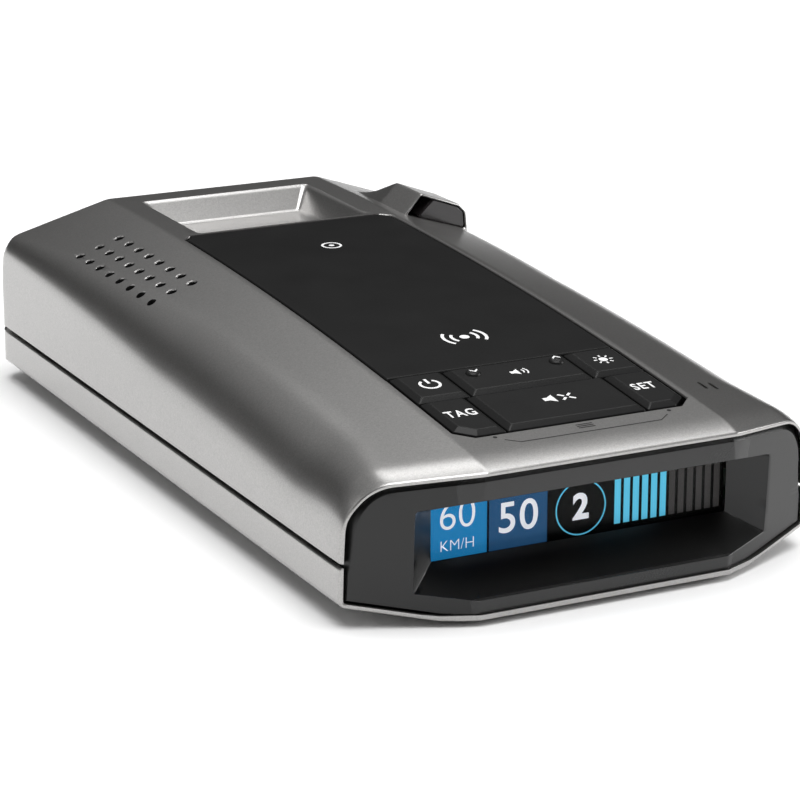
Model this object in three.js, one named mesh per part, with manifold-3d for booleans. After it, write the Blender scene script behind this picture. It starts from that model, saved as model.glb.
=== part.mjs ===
// Dashboard radar detector: two painted shells, a glossy display bezel, a black key panel,
// a hooded rear laser window and the electronics between them.
// Millimetres. +X is the driver's right, +Y points at the road, +Z is up.
// Every station y is counted from the driver's end of the body; the group then centres the part.
import * as THREE from 'three';
import { mergeVertices } from 'three/addons/utils/BufferGeometryUtils.js';
import Module from 'manifold-3d';

const wasm = await Module();
wasm.setup();

// ---------- driving dimensions ----------
const bodyLength = 145;
const bodyWidth = 75;
const bodyHeight = 31;
const frontHeight = 22.9;
const wall = 1.5;
const shellGap = 0.35;
const clearance = 0.3;

// body section
const crownPeakSetback = 18.7;
const plateauHalf = 19.6;
const partingHeight = 9.24;
const partingGroove = 0.6;
const lowerCornerHeight = 3.2;
const lowerCornerRadius = 1.2;
const bottomFlatHalf = 20;
const frontShoulderSlope = 0.16;
const rearShoulderSlope = 0.365;
const frontDraft = THREE.MathUtils.degToRad(1);
const rearDraft = THREE.MathUtils.degToRad(2);
const frontCornerRadius = 6.5;
const waistCornerRadius = 12;
const rearCornerRadius = 4.5;

// ends of the body
const facetHalf = 19.86;
const facetSweep = THREE.MathUtils.degToRad(23.7);
const faceLean = THREE.MathUtils.degToRad(3.35);
const frontPlanRadius = 2.5;
const chinHeight = 1.05;
const chinRun = 4.5;
const rearPlanRadius = 4.5;
const rearKneeHeight = 21;
const rearSlantRun = 7.4;

// display bezel and screen
const faceSetback = 0.6;
const frontLip = 0.7;
const lipDepth = 4;
const faceBevel = 1.2;
const browHeight = 6.5;
const screenHeight = 8.8;
const screenHalf = 23.6;
const screenDepth = 8.8;
const funnelSideRun = 4.4;
const funnelTopRun = 1.72;
const funnelBottomRun = 3.89;
const openingTopDrop = 1.4;
const openingBottomRise = 1.23;
const windowThickness = 1.2;
const windowLip = 0.7;
const moduleThickness = 2;
const bezelFlangeDepth = 14;

// black panel and key well
const panelHalf = 18.4;
const panelThickness = 1.2;
const panelRearSetback = 38.4;
const panelRearChamfer = 1.7;
const wellFront = 9.9;
const frontRowDepth = 12.8;
const rearRowDepth = 9.6;
const keyGap = 0.3;
const wellChamfer = 2.4;
const frontRowSplit = 11.1;
const rearRowSplit = 9.9;
const keyProud = 0.45;
const keyThickness = 2.6;
const keyBevel = 0.7;
const keyTravel = 0.5;
const domeSlack = 0.2;
const stemRadius = 1.4;
const stemLength = 0.9;
const domeRadius = 2.2;
const domeHeight = 0.9;
const matThickness = 0.8;
const boardThickness = 1.6;
const keyBoardThickness = 1;

// mount recess
const recessHalf = 15.3;
const recessRearSetback = 13.2;
const recessFrontGap = 1.1;
const recessDepth = 3.9;
const recessWallRun = 2.8;
const magnetRadius = 5;
const magnetThickness = 2;

// speaker field
const speakerHoleRadius = 0.85;
const speakerRows = 3;
const speakerColumns = 8;
const speakerRowPitch = 3.6;
const speakerColumnPitch = 4.33;
const speakerSideInset = 8.7;
const speakerPanelSetback = 4.6;
const speakerWidth = 10.4;
const speakerLength = 33;
const speakerDepth = 4.2;
const meshThickness = 0.4;
const speakerDrop = 2.3;

// rear laser hood, on the right shoulder
const hoodSideInset = 3.1;
const hoodWidth = 12;
const hoodHeight = 4.2;
const hoodFlankRun = 3.2;
const hoodPanelGap = 1;
const hoodRidgeLength = 9.4;
const hoodTailLength = 12;
const laserWindowDepth = 2.4;
const laserPocketDepth = 7;
const laserSensorSize = 4;
const laserSensorLength = 2.6;
const laserSensorRise = 2.9;
const hoodRim = 0.8;

// light sensor slits, on the right shoulder
const slitSideInset = 12.2;
const slitCentreY = 16.9;
const slitLength = 2.6;
const slitWidth = 0.7;
const slitPitch = 1.8;

// main board, posts and screws
const postSideInset = 8;
const frontPostY = 36;
const rearPostSetback = 17;
const postRadius = 3.2;
const pilotRadius = 1.4;
const screwRadius = 1.1;
const screwHeadRadius = 2.6;
const screwHeadHeight = 1.5;
const screwLength = 12;
const counterboreRadius = 2.9;
const tubeRadius = 4.3;
const boardUnderside = 6.4;
const boardSideGap = 2.6;
const boardFront = 16;
const boardRearSetback = 12;

// sockets on the right side
const powerSocketY = 46;
const powerSocketWidth = 11.4;
const powerSocketHeight = 8.2;
const powerSocketLength = 13;
const powerPlugWidth = 9.6;
const powerPlugHeight = 6.6;
const phoneSocketY = 63;
const phoneBoreRadius = 1.85;
const phoneBodySize = 6;
const phoneBodyLength = 11;
const usbSocketY = 77;
const usbWidth = 7.6;
const usbHeight = 2.7;
const usbLength = 6;
const usbShell = 0.4;

// road window and receivers
const roadWindowHalf = 24;
const roadWindowKneeGap = 2.4;
const roadWindowHeight = 8;
const roadWindowRim = 1.2;
const roadWindowThickness = 1;
const hornCentreX = -7;
const hornMouthHalf = 14;
const hornThroatHalf = 5;
const hornMouthHeight = 14;
const hornThroatHeight = 6;
const hornLength = 32;
const hornWall = 1.2;
const hornBlockLength = 12;
const hornSetback = 6;
const shieldLeft = -26;
const shieldRight = 14;
const shieldFront = 50;
const shieldHornGap = 9;
const shieldHeight = 3.2;
const processorHalf = 8;
const processorCentreY = 38;
const processorHeight = 1.4;
const receiverWidth = 11;
const receiverLength = 13;
const receiverHeight = 9.4;
const receiverSetback = 9;
const receiverNose = 3.5;
const gpsHalf = 12.5;
const gpsPanelSetback = 20.6;
const gpsThickness = 4;
const gpsBoardThickness = 0.8;

// label on the underside
const labelHalf = 15;
const labelLength = 40;
const labelCentreY = 70;
const labelThickness = 0.3;
const labelRecess = 0.6;

// ---------- solids ----------
function toSolid(geometry) {
  const bare = geometry.clone();
  bare.deleteAttribute('normal');
  bare.deleteAttribute('uv');
  const merged = mergeVertices(bare, 1e-5);
  const mesh = new wasm.Mesh({
    numProp: 3,
    vertProperties: new Float32Array(merged.attributes.position.array),
    triVerts: new Uint32Array(merged.index.array),
  });
  return new wasm.Manifold(mesh);
}

function toGeometry(solid) {
  const mesh = solid.getMesh();
  const geometry = new THREE.BufferGeometry();
  geometry.setAttribute('position', new THREE.BufferAttribute(new Float32Array(mesh.vertProperties), 3));
  geometry.setIndex(new THREE.BufferAttribute(new Uint32Array(mesh.triVerts), 1));
  geometry.computeVertexNormals();
  return geometry;
}

function block(x0, x1, y0, y1, z0, z1) {
  const geometry = new THREE.BoxGeometry(x1 - x0, y1 - y0, z1 - z0);
  return geometry.translate((x0 + x1) / 2, (y0 + y1) / 2, (z0 + z1) / 2);
}

// An upright cylinder from z0 to z1.
function post(radius, x, y, z0, z1, sides = 20) {
  const geometry = new THREE.CylinderGeometry(radius, radius, z1 - z0, sides);
  return geometry.rotateX(Math.PI / 2).translate(x, y, (z0 + z1) / 2);
}

// A cylinder that runs along X.
function barrel(radius, x0, x1, y, z, sides = 20) {
  const geometry = new THREE.CylinderGeometry(radius, radius, x1 - x0, sides);
  return geometry.rotateZ(Math.PI / 2).translate((x0 + x1) / 2, y, z);
}

// A plan outline in X and Y, raised from z0 to z1.
function slab(outline, z0, z1) {
  const shape = new THREE.Shape(outline.map(([x, y]) => new THREE.Vector2(x, y)));
  return new THREE.ExtrudeGeometry(shape, { depth: z1 - z0, bevelEnabled: false }).translate(0, 0, z0);
}

// A side outline in Y and Z, carried from x0 to x1.
function sideSlab(outline, x0, x1) {
  const shape = new THREE.Shape(outline.map(([y, z]) => new THREE.Vector2(y, z)));
  const geometry = new THREE.ExtrudeGeometry(shape, { depth: x1 - x0, bevelEnabled: false });
  const turn = new THREE.Matrix4().makeBasis(
    new THREE.Vector3(0, 1, 0), new THREE.Vector3(0, 0, 1), new THREE.Vector3(1, 0, 0));
  return geometry.applyMatrix4(turn).translate(x0, 0, 0);
}

// Six times the volume inside a triangle list; below zero when the list is inside out.
function signedVolume(positions, index) {
  const at = (corner) => new THREE.Vector3().fromArray(positions, 3 * corner);
  let sum = 0;
  for (let i = 0; i < index.length; i += 3) {
    sum += at(index[i]).dot(at(index[i + 1]).cross(at(index[i + 2])));
  }
  return sum;
}

// A skin over rings of equal point counts, closed by a fan at each end and turned to face out.
function loft(rings) {
  const count = rings[0].length;
  const positions = rings.flat(2);
  const index = [];
  for (let ring = 0; ring + 1 < rings.length; ring += 1) {
    for (let point = 0; point < count; point += 1) {
      const a = ring * count + point;
      const b = ring * count + (point + 1) % count;
      index.push(a, a + count, b, b, a + count, b + count);
    }
  }
  const ends = [[0, false], [rings.length - 1, true]];
  for (const [ring, flip] of ends) {
    const centre = new THREE.Vector3();
    rings[ring].forEach((point) => centre.add(new THREE.Vector3(...point)));
    centre.divideScalar(count);
    const hub = positions.length / 3;
    positions.push(centre.x, centre.y, centre.z);
    for (let point = 0; point < count; point += 1) {
      const a = ring * count + point;
      const b = ring * count + (point + 1) % count;
      index.push(...(flip ? [hub, b, a] : [hub, a, b]));
    }
  }
  if (signedVolume(positions, index) < 0) {
    index.reverse();
  }
  const geometry = new THREE.BufferGeometry();
  geometry.setAttribute('position', new THREE.Float32BufferAttribute(positions, 3));
  geometry.setIndex(index);
  return geometry;
}

function union(...geometries) {
  return geometries.map(toSolid).reduce((sum, solid) => sum.add(solid));
}

// ---------- the law of the body surface ----------
const crownPeakY = bodyLength - crownPeakSetback;
const crownFall = (bodyHeight - frontHeight) / crownPeakY ** 2;
const halfWidth = bodyWidth / 2;
const screenTop = frontHeight - browHeight;
const screenBottom = screenTop - screenHeight;
const openingHalf = screenHalf + funnelSideRun;
const openingTop = screenTop + funnelTopRun;
const openingBottom = screenBottom - funnelBottomRun;
const postX = halfWidth - postSideInset;
const boardHalf = halfWidth - wall - boardSideGap;
const hoodRight = halfWidth - hoodSideInset;
const hoodLeft = hoodRight - hoodWidth;
const slitCentreX = halfWidth - slitSideInset;
const speakerCentreX = speakerSideInset - halfWidth;
const roadWindowTop = rearKneeHeight - roadWindowKneeGap;
const roadWindowBottom = roadWindowTop - roadWindowHeight;
const waistStart = bodyLength * 0.15;
const waistEnd = bodyLength * 0.5;
const edgeStart = bodyLength - 5;

function crown(y) {
  return bodyHeight - crownFall * (crownPeakY - y) ** 2;
}

function shoulderSlope(y) {
  return THREE.MathUtils.mapLinear(y, 0, bodyLength, frontShoulderSlope, rearShoulderSlope);
}

function shoulder(x, y) {
  return crown(y) - Math.max(0, Math.abs(x) - plateauHalf) * shoulderSlope(y);
}

function cornerRadius(y) {
  if (y < waistStart) {
    return THREE.MathUtils.mapLinear(Math.max(y, 0), 0, waistStart, frontCornerRadius, waistCornerRadius);
  }
  if (y < waistEnd) {
    return waistCornerRadius;
  }
  const late = Math.min(y, edgeStart);
  return THREE.MathUtils.mapLinear(late, waistEnd, edgeStart, waistCornerRadius, rearCornerRadius);
}

function draft(y) {
  return THREE.MathUtils.mapLinear(y, 0, bodyLength, frontDraft, rearDraft);
}

// Points of the arc that rounds one corner of an outline.
function roundCorner(before, corner, after, radius, steps) {
  const toBefore = new THREE.Vector2(before[0] - corner[0], before[1] - corner[1]);
  const toAfter = new THREE.Vector2(after[0] - corner[0], after[1] - corner[1]);
  const reach = 0.49 * Math.min(toBefore.length(), toAfter.length());
  const halfAngle = Math.acos(toBefore.clone().normalize().dot(toAfter.clone().normalize())) / 2;
  const tangent = Math.min(radius / Math.tan(halfAngle), 2 * reach * 0.98);
  const arcRadius = tangent * Math.tan(halfAngle);
  const bisector = toBefore.clone().normalize().add(toAfter.clone().normalize()).normalize();
  const centre = new THREE.Vector2(...corner).addScaledVector(bisector, arcRadius / Math.sin(halfAngle));
  const start = new THREE.Vector2(...corner).addScaledVector(toBefore.normalize(), tangent).sub(centre);
  const end = new THREE.Vector2(...corner).addScaledVector(toAfter.normalize(), tangent).sub(centre);
  let sweep = end.angle() - start.angle();
  sweep -= 2 * Math.PI * Math.round(sweep / (2 * Math.PI));
  const points = [];
  for (let step = 0; step <= steps; step += 1) {
    const angle = start.angle() + (sweep * step) / steps;
    points.push([centre.x + arcRadius * Math.cos(angle), centre.y + arcRadius * Math.sin(angle)]);
  }
  return points;
}

// The closed section of the body at station y, drawn in by inset, as points in X and Z.
function bodySection(y, inset) {
  const half = halfWidth - inset;
  const top = crown(y) - inset;
  const slope = shoulderSlope(y);
  const lean = Math.tan(draft(y));
  const cornerX = (half - lean * (top + slope * plateauHalf - partingHeight)) / (1 - lean * slope);
  const corner = [cornerX, top - slope * (cornerX - plateauHalf)];
  const sill = [half, lowerCornerHeight + inset];
  const right = [
    [bottomFlatHalf, inset],
    ...roundCorner([bottomFlatHalf, inset], sill, [half, partingHeight],
      Math.max(lowerCornerRadius - inset, 0.4), 3),
    [half, partingHeight],
    ...roundCorner([half, partingHeight], corner, [plateauHalf, top],
      Math.max(cornerRadius(y) - inset, 1), 8),
    [plateauHalf, top],
  ];
  const left = right.map(([x, z]) => [-x, z]).reverse();
  return [...right, ...left];
}

function bodyLoft(inset, y0, y1) {
  const stations = 14;
  const rings = [];
  for (let station = 0; station <= stations; station += 1) {
    const y = y0 + ((y1 - y0) * station) / stations;
    rings.push(bodySection(y, inset).map(([x, z]) => [x, y, z]));
  }
  return toSolid(loft(rings));
}

// The driver's end is three facets in plan, swept back at the sides, that lean with height.
const far = 60;
const sweepRise = Math.tan(facetSweep);
const leanRise = Math.tan(faceLean);

function frontLimit(x, z) {
  return Math.max(0, Math.abs(x) - facetHalf) * sweepRise + (frontHeight - z) * leanRise;
}

// Everything behind the front facets, moved back by setback and drawn in by inset at the sides.
function behindFront(setback, inset) {
  const half = halfWidth - inset;
  const rear = bodyLength + far;
  const corner = [half, (half - facetHalf) * sweepRise];
  const bend = roundCorner([facetHalf, 0], corner, [half, rear], frontPlanRadius, 5);
  const right = [[facetHalf, 0], ...bend, [half, rear]];
  const left = right.map(([x, y]) => [-x, y]).reverse();
  const lean = new THREE.Matrix4().makeShear(0, 0, 0, 0, 0, -leanRise);
  const geometry = slab([...right, ...left], -far, far).applyMatrix4(lean);
  return toSolid(geometry.translate(0, setback + frontHeight * leanRise, 0));
}

// The wedge cut away under the mouth, where the underside turns up to meet the bezel.
function chinWedge() {
  const deep = 5;
  return toSolid(loft([-far, -facetHalf, facetHalf, far].map((x) => {
    const y = frontLimit(x, 0);
    return [
      [x, y - deep, -deep], [x, y - deep, chinHeight], [x, y, chinHeight],
      [x, y + chinRun / 3, chinHeight * 0.38], [x, y + chinRun, 0], [x, y + chinRun, -deep],
    ];
  })));
}

// Everything ahead of the rear end, drawn in by inset.
function aheadOfRear(inset) {
  const rear = bodyLength - inset;
  const side = halfWidth + far - inset;
  const radius = rearPlanRadius - inset;
  const half = halfWidth - inset;
  const corners = [
    ...roundCorner([half, -far], [half, rear], [-half, rear], radius, 6),
    ...roundCorner([half, rear], [-half, rear], [-half, -far], radius, 6),
  ];
  const plan = slab([[half, -far], ...corners, [-half, -far]], -far, far);
  const slant = rearSlantRun / (bodyHeight - rearKneeHeight);
  const profile = [
    [-far, -far], [rear, -far], [rear, rearKneeHeight - inset],
    [rear - slant * far, rearKneeHeight - inset + far], [-far, far * 2],
  ];
  return toSolid(plan).intersect(toSolid(sideSlab(profile, -side, side)));
}

const overrun = 4;
const body = bodyLoft(0, -overrun, bodyLength + overrun)
  .intersect(behindFront(0, 0))
  .subtract(chinWedge())
  .intersect(aheadOfRear(0));
const cavity = bodyLoft(wall, -overrun, bodyLength + overrun).intersect(aheadOfRear(wall));

// The bezel's flange sits in a rebate that thins the case to a lip round its mouth.
function mouthBand(inset, front, depth) {
  return bodyLoft(inset, -overrun, bodyLength / 4)
    .intersect(behindFront(front, inset))
    .subtract(behindFront(depth, -far));
}

const rebate = mouthBand(frontLip, -1, lipDepth);

// ---------- scene ----------
const detector = new THREE.Group();
detector.name = 'radar_detector';
detector.position.y = -bodyLength / 2;

function finish(color, roughness, metalness) {
  return new THREE.MeshStandardMaterial({ color, roughness, metalness });
}

const finishes = {
  silver: finish(0x8c8a88, 0.45, 0.5),
  bezel: finish(0x1a1a1b, 0.18, 0),
  panel: finish(0x191919, 0.5, 0),
  key: finish(0x161616, 0.35, 0),
  darkWindow: finish(0x101012, 0.08, 0),
  screen: finish(0x1580b8, 0.2, 0),
  rubber: finish(0x2c2c2c, 0.9, 0),
  board: finish(0x1d5a34, 0.6, 0),
  metal: finish(0xb4b4b0, 0.35, 0.9),
  steel: finish(0x55565a, 0.4, 0.9),
  ceramic: finish(0xd8cdb4, 0.7, 0),
  cloth: finish(0x151515, 0.95, 0),
  flex: finish(0xb0702c, 0.5, 0),
  label: finish(0xc9c9c6, 0.55, 0),
};

function addPart(name, shape, material, parent = detector) {
  const geometry = shape.isBufferGeometry ? shape : toGeometry(shape);
  const mesh = new THREE.Mesh(geometry, material);
  mesh.name = name;
  parent.add(mesh);
  return mesh;
}

// ---------- screen stack, from the funnel's end backwards ----------
const windowBack = screenDepth + clearance + windowThickness;
const bezelBack = windowBack + 0.4;
const moduleFront = bezelBack + clearance;
const moduleBack = moduleFront + moduleThickness;

// ---------- key well frame: a group tilted with the crown at the middle of the well ----------
const wellLength = frontRowDepth + rearRowDepth;
const wellRear = wellFront + wellLength;
const wellCentre = (wellFront + wellRear) / 2;
const keyTilt = Math.atan(2 * crownFall * (crownPeakY - wellCentre));
const wellHalfLength = wellLength / 2 / Math.cos(keyTilt);
const keyDeck = new THREE.Group();
keyDeck.position.set(0, wellCentre, crown(wellCentre));
keyDeck.rotation.x = keyTilt;
keyDeck.updateMatrix();
detector.add(keyDeck);

function onDeck(geometry) {
  return toSolid(geometry.applyMatrix4(keyDeck.matrix));
}

const keyBottom = keyProud - keyThickness;
const stemEnd = keyBottom - stemLength;
const domeTop = stemEnd - keyTravel - domeSlack;
const matTop = domeTop - domeHeight;
const matBottom = matTop - matThickness;
const keyBoardTop = matBottom - clearance;
const keyBoardBottom = keyBoardTop - keyBoardThickness;
const keyBoardFrontY = moduleBack + 2 * clearance;
const keyBoardFront = (keyBoardFrontY - wellCentre + keyBoardBottom * Math.sin(keyTilt)) / Math.cos(keyTilt);
const wellHalf = panelHalf + clearance;
const earHalf = wellHalf + 5.2;
const earHalfLength = 3;
const earScrewX = wellHalf + 2.8;
const keyBossRadius = 2;
const earHeadRadius = 1.9;
const earHeadHeight = 1.1;
const earShankRadius = 0.75;
const earShankReach = 3.6;

function wellOutline(grow) {
  const half = panelHalf + grow;
  const front = -wellHalfLength - grow;
  const rear = wellHalfLength + 1;
  return [
    [-half, rear], [-half, front + wellChamfer], [-half + wellChamfer, front],
    [half - wellChamfer, front], [half, front + wellChamfer], [half, rear],
  ];
}

// ---------- panel recess, and the panel that follows the crown ----------
const panelFront = wellRear + keyGap;
const panelRear = bodyLength - panelRearSetback;
const hoodFront = panelRear + hoodPanelGap;
const speakerCentreY = panelRear - speakerPanelSetback;

function panelOutline(grow) {
  const half = panelHalf + grow;
  const rear = panelRear + grow;
  return [
    [-half, panelFront], [half, panelFront], [half, rear - panelRearChamfer],
    [half - panelRearChamfer, rear], [-half + panelRearChamfer, rear], [-half, rear - panelRearChamfer],
  ];
}

// A sheet that follows the crown, from depth below it up to rise above it.
function crownSheet(depth, rise, y0, y1) {
  const steps = 8;
  const rings = [];
  for (let step = 0; step <= steps; step += 1) {
    const y = y0 + ((y1 - y0) * step) / steps;
    const half = bodyWidth;
    rings.push([
      [-half, y, crown(y) - depth], [half, y, crown(y) - depth],
      [half, y, crown(y) + rise], [-half, y, crown(y) + rise],
    ]);
  }
  return toSolid(loft(rings));
}

const panelPocketDepth = panelThickness + clearance;
const panelPocket = crownSheet(panelPocketDepth, 3, 0, bodyLength)
  .intersect(toSolid(slab(panelOutline(clearance), 0, 2 * bodyHeight)));
const topPanel = crownSheet(panelThickness, 0, 0, bodyLength)
  .intersect(toSolid(slab(panelOutline(0), 0, 2 * bodyHeight)));
const panelBacking = crownSheet(panelPocketDepth + wall, 0, 0, bodyLength)
  .intersect(toSolid(slab(panelOutline(clearance + wall), 0, 2 * bodyHeight)));

// ---------- mount recess ----------
const recessFront = panelRear + recessFrontGap;
const recessRear = bodyLength - recessRearSetback;
const recessMiddle = (recessFront + recessRear) / 2;
const recessFloor = crown(recessMiddle) - recessDepth;
const recessFrontRun = 0.5;

// The sloping-walled pocket, grown outwards by grow.
function recessSolid(grow) {
  const levels = [[recessFloor - grow, 0], [recessFloor + recessDepth + 1, (recessDepth + 1) / recessDepth]];
  const rings = levels.map(([z, share]) => {
    const half = recessHalf - recessWallRun + share * recessWallRun + grow;
    const front = recessFront + recessFrontRun - share * recessFrontRun - grow;
    const rear = recessRear - recessWallRun + share * recessWallRun + grow;
    return [[-half, front, z], [-half, rear, z], [half, rear, z], [half, front, z]];
  });
  return toSolid(loft(rings));
}

const recess = recessSolid(0);
const recessTub = recessSolid(wall).intersect(body);

// ---------- rear laser hood ----------
const hoodRidge = hoodFront + hoodRidgeLength;
const hoodTail = hoodRidge + hoodTailLength;
const hoodFoot = 3;

function hoodRing(y, height, inset) {
  const left = hoodLeft + inset;
  const right = hoodRight - inset;
  const lift = height - inset;
  const ridgeLeft = left + hoodFlankRun;
  const ridgeRight = right - 1.5;
  return [
    [left, y, shoulder(left, y) - hoodFoot + inset],
    [right + 0.3, y, shoulder(right, y) - hoodFoot - 2],
    [right, y, shoulder(right, y) + lift * 0.45],
    [right - 0.5, y, shoulder(right, y) + lift * 0.8],
    [ridgeRight, y, shoulder(ridgeRight, y) + lift * 0.93],
    [ridgeLeft, y, shoulder(ridgeLeft, y) + lift],
    [ridgeLeft - 0.5, y, shoulder(ridgeLeft, y) + lift * 0.93],
    [left, y, shoulder(left, y) - 0.1 + inset],
  ];
}

const hood = toSolid(loft([
  hoodRing(hoodFront, hoodHeight, 0),
  hoodRing(hoodRidge, hoodHeight, 0),
  hoodRing(hoodTail, -0.4, 0),
]));

// The pocket in the hood's mouth, and with a gap the window that fits in it.
function windowRing(y, gap) {
  const inset = hoodRim + gap;
  const left = hoodLeft + inset + gap;
  const right = hoodRight - inset;
  const ridgeLeft = left + hoodFlankRun * 0.85;
  const lift = hoodHeight - inset;
  return [
    [left, y, shoulder(left, y) + inset - hoodRim],
    [right, y, shoulder(right, y) + inset - hoodRim],
    [right - 0.2, y, shoulder(right, y) + lift * 0.8],
    [right - 1.2, y, shoulder(right - 1.2, y) + lift * 0.93],
    [ridgeLeft, y, shoulder(ridgeLeft, y) + lift],
  ];
}

const windowFront = hoodFront + 0.2;
const laserPocket = toSolid(loft([
  windowRing(hoodFront - 1, 0),
  windowRing(hoodFront + laserPocketDepth, 0),
]));
const laserWindow = toSolid(loft([
  windowRing(windowFront, clearance),
  windowRing(windowFront + laserWindowDepth, clearance),
]));

// ---------- speaker field ----------
const speakerTilt = -Math.atan(shoulderSlope(speakerCentreY));
const speakerDeck = new THREE.Group();
speakerDeck.position.set(speakerCentreX, speakerCentreY, shoulder(speakerCentreX, speakerCentreY));
speakerDeck.rotation.y = speakerTilt;
speakerDeck.updateMatrix();
detector.add(speakerDeck);

function speakerHoles() {
  const holes = [];
  for (let row = 0; row < speakerRows; row += 1) {
    for (let column = 0; column < speakerColumns; column += 1) {
      const x = (row - (speakerRows - 1) / 2) * speakerRowPitch;
      const y = (column - (speakerColumns - 1) / 2) * speakerColumnPitch;
      holes.push(toSolid(post(speakerHoleRadius, x, y, -3, 3, 8).applyMatrix4(speakerDeck.matrix)));
    }
  }
  return holes;
}

// ---------- posts ----------
const rearPostY = bodyLength - rearPostSetback;
const postPlaces = [
  ['front_left', -postX, frontPostY], ['front_right', postX, frontPostY],
  ['rear_left', -postX, rearPostY], ['rear_right', postX, rearPostY],
];
const boardTop = boardUnderside + boardThickness;
const bossFoot = boardTop + clearance;
const tubeTop = boardUnderside - clearance;
const seatHeight = lowerCornerHeight * (postX - bottomFlatHalf) / (halfWidth - bottomFlatHalf) + 2.3;
const screwHeadTop = seatHeight - clearance;
const screwHeadBottom = screwHeadTop - screwHeadHeight;

function bosses() {
  return postPlaces.map(([, x, y]) => toSolid(post(postRadius, x, y, bossFoot, bodyHeight)).intersect(body));
}

function keyBosses() {
  return [-1, 1].map((side) => {
    const boss = onDeck(post(keyBossRadius, side * earScrewX, 0, keyBoardTop + clearance, 2, 16));
    return boss.intersect(body);
  });
}

// ---------- sockets in the right side ----------
const socketFloor = boardTop + clearance;
const socketFace = halfWidth - wall - 3 * clearance;
const socketReach = halfWidth + far;
const powerCentre = socketFloor + powerSocketHeight / 2;
const phoneCentre = socketFloor + phoneBodySize / 2;
const usbCentre = socketFloor + usbHeight / 2 + usbShell;

function socketOpenings() {
  const power = [powerPlugWidth / 2 + clearance, powerPlugHeight / 2 + clearance];
  const usb = [usbWidth / 2 + usbShell + clearance, usbHeight / 2 + usbShell + clearance];
  return [
    toSolid(block(socketFace - 2, socketReach, powerSocketY - power[0], powerSocketY + power[0],
      powerCentre - power[1], powerCentre + power[1])),
    toSolid(barrel(phoneBoreRadius + 1.2, socketFace - 2, socketReach, phoneSocketY, phoneCentre, 20)),
    toSolid(block(socketFace - 2, socketReach, usbSocketY - usb[0], usbSocketY + usb[0],
      usbCentre - usb[1], usbCentre + usb[1])),
  ];
}

// ---------- road window ----------
const roadPocket = toSolid(block(-roadWindowHalf - clearance, roadWindowHalf + clearance,
  bodyLength - roadWindowThickness - clearance, bodyLength + 1,
  roadWindowBottom - clearance, roadWindowTop + clearance));
const roadOpening = toSolid(block(-roadWindowHalf + roadWindowRim, roadWindowHalf - roadWindowRim,
  bodyLength - 4, bodyLength + 1, roadWindowBottom + roadWindowRim, roadWindowTop - roadWindowRim));
const roadFrame = toSolid(block(-roadWindowHalf - 1.5, roadWindowHalf + 1.5,
  bodyLength - roadWindowThickness - clearance - roadWindowRim, bodyLength - 0.2,
  roadWindowBottom - 0.6, roadWindowTop + 1.5)).intersect(body);

// ---------- shells ----------
function above(z) {
  return toSolid(block(-far, far, -far, bodyLength + far, z, 2 * far));
}

function below(z) {
  return toSolid(block(-far, far, -far, bodyLength + far, -far, z));
}

function upperCase() {
  let shell = body.subtract(cavity)
    .add(panelBacking)
    .add(recessTub)
    .add(roadFrame);
  [...bosses(), ...keyBosses(), hood].forEach((solid) => { shell = shell.add(solid); });
  shell = shell.subtract(panelPocket)
    .subtract(recess)
    .subtract(onDeck(slab(wellOutline(clearance), -10, 6)))
    .subtract(laserPocket)
    .subtract(roadPocket)
    .subtract(roadOpening)
    .subtract(rebate);
  const pilots = postPlaces.map(([, x, y]) => toSolid(post(pilotRadius, x, y, 0, boardTop + screwLength)));
  const keyPilots = [-1, 1].map(
    (side) => onDeck(post(pilotRadius - 0.4, side * earScrewX, 0, -12, -2.2, 16)));
  const slits = [-1, 1].map((side) => toSolid(block(
    slitCentreX + side * slitPitch / 2 - slitWidth / 2, slitCentreX + side * slitPitch / 2 + slitWidth / 2,
    slitCentreY - slitLength / 2, slitCentreY + slitLength / 2, partingHeight + 5, 2 * bodyHeight)));
  [...pilots, ...keyPilots, ...slits, ...speakerHoles(), ...socketOpenings()].forEach((solid) => {
    shell = shell.subtract(solid);
  });
  return shell.intersect(above(partingHeight + partingGroove / 2));
}

function lowerCase() {
  let shell = body.subtract(cavity).intersect(below(partingHeight - partingGroove / 2));
  postPlaces.forEach(([, x, y]) => {
    shell = shell.add(toSolid(post(tubeRadius, x, y, 0, tubeTop)).intersect(body));
  });
  postPlaces.forEach(([, x, y]) => {
    shell = shell
      .subtract(toSolid(post(counterboreRadius, x, y, -1, seatHeight)))
      .subtract(toSolid(post(pilotRadius, x, y, 0, bodyHeight)));
  });
  const label = block(-labelHalf - clearance, labelHalf + clearance,
    labelCentreY - labelLength / 2 - clearance, labelCentreY + labelLength / 2 + clearance, -1, labelRecess);
  socketOpenings().forEach((solid) => { shell = shell.subtract(solid); });
  return shell.subtract(toSolid(label)).subtract(rebate);
}

addPart('upper_case', upperCase(), finishes.silver);
addPart('lower_case', lowerCase(), finishes.silver);
addPart('top_panel', topPanel, finishes.panel);

// ---------- display ----------
// The opening's outline on the swept face: it bends at the facets' edges.
function openingOutline() {
  const knee = facetHalf;
  return [
    [-openingHalf, openingBottom + openingBottomRise], [-knee, openingBottom], [knee, openingBottom],
    [openingHalf, openingBottom + openingBottomRise], [openingHalf, openingTop - openingTopDrop],
    [knee, openingTop], [-knee, openingTop], [-openingHalf, openingTop - openingTopDrop],
  ];
}

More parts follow.
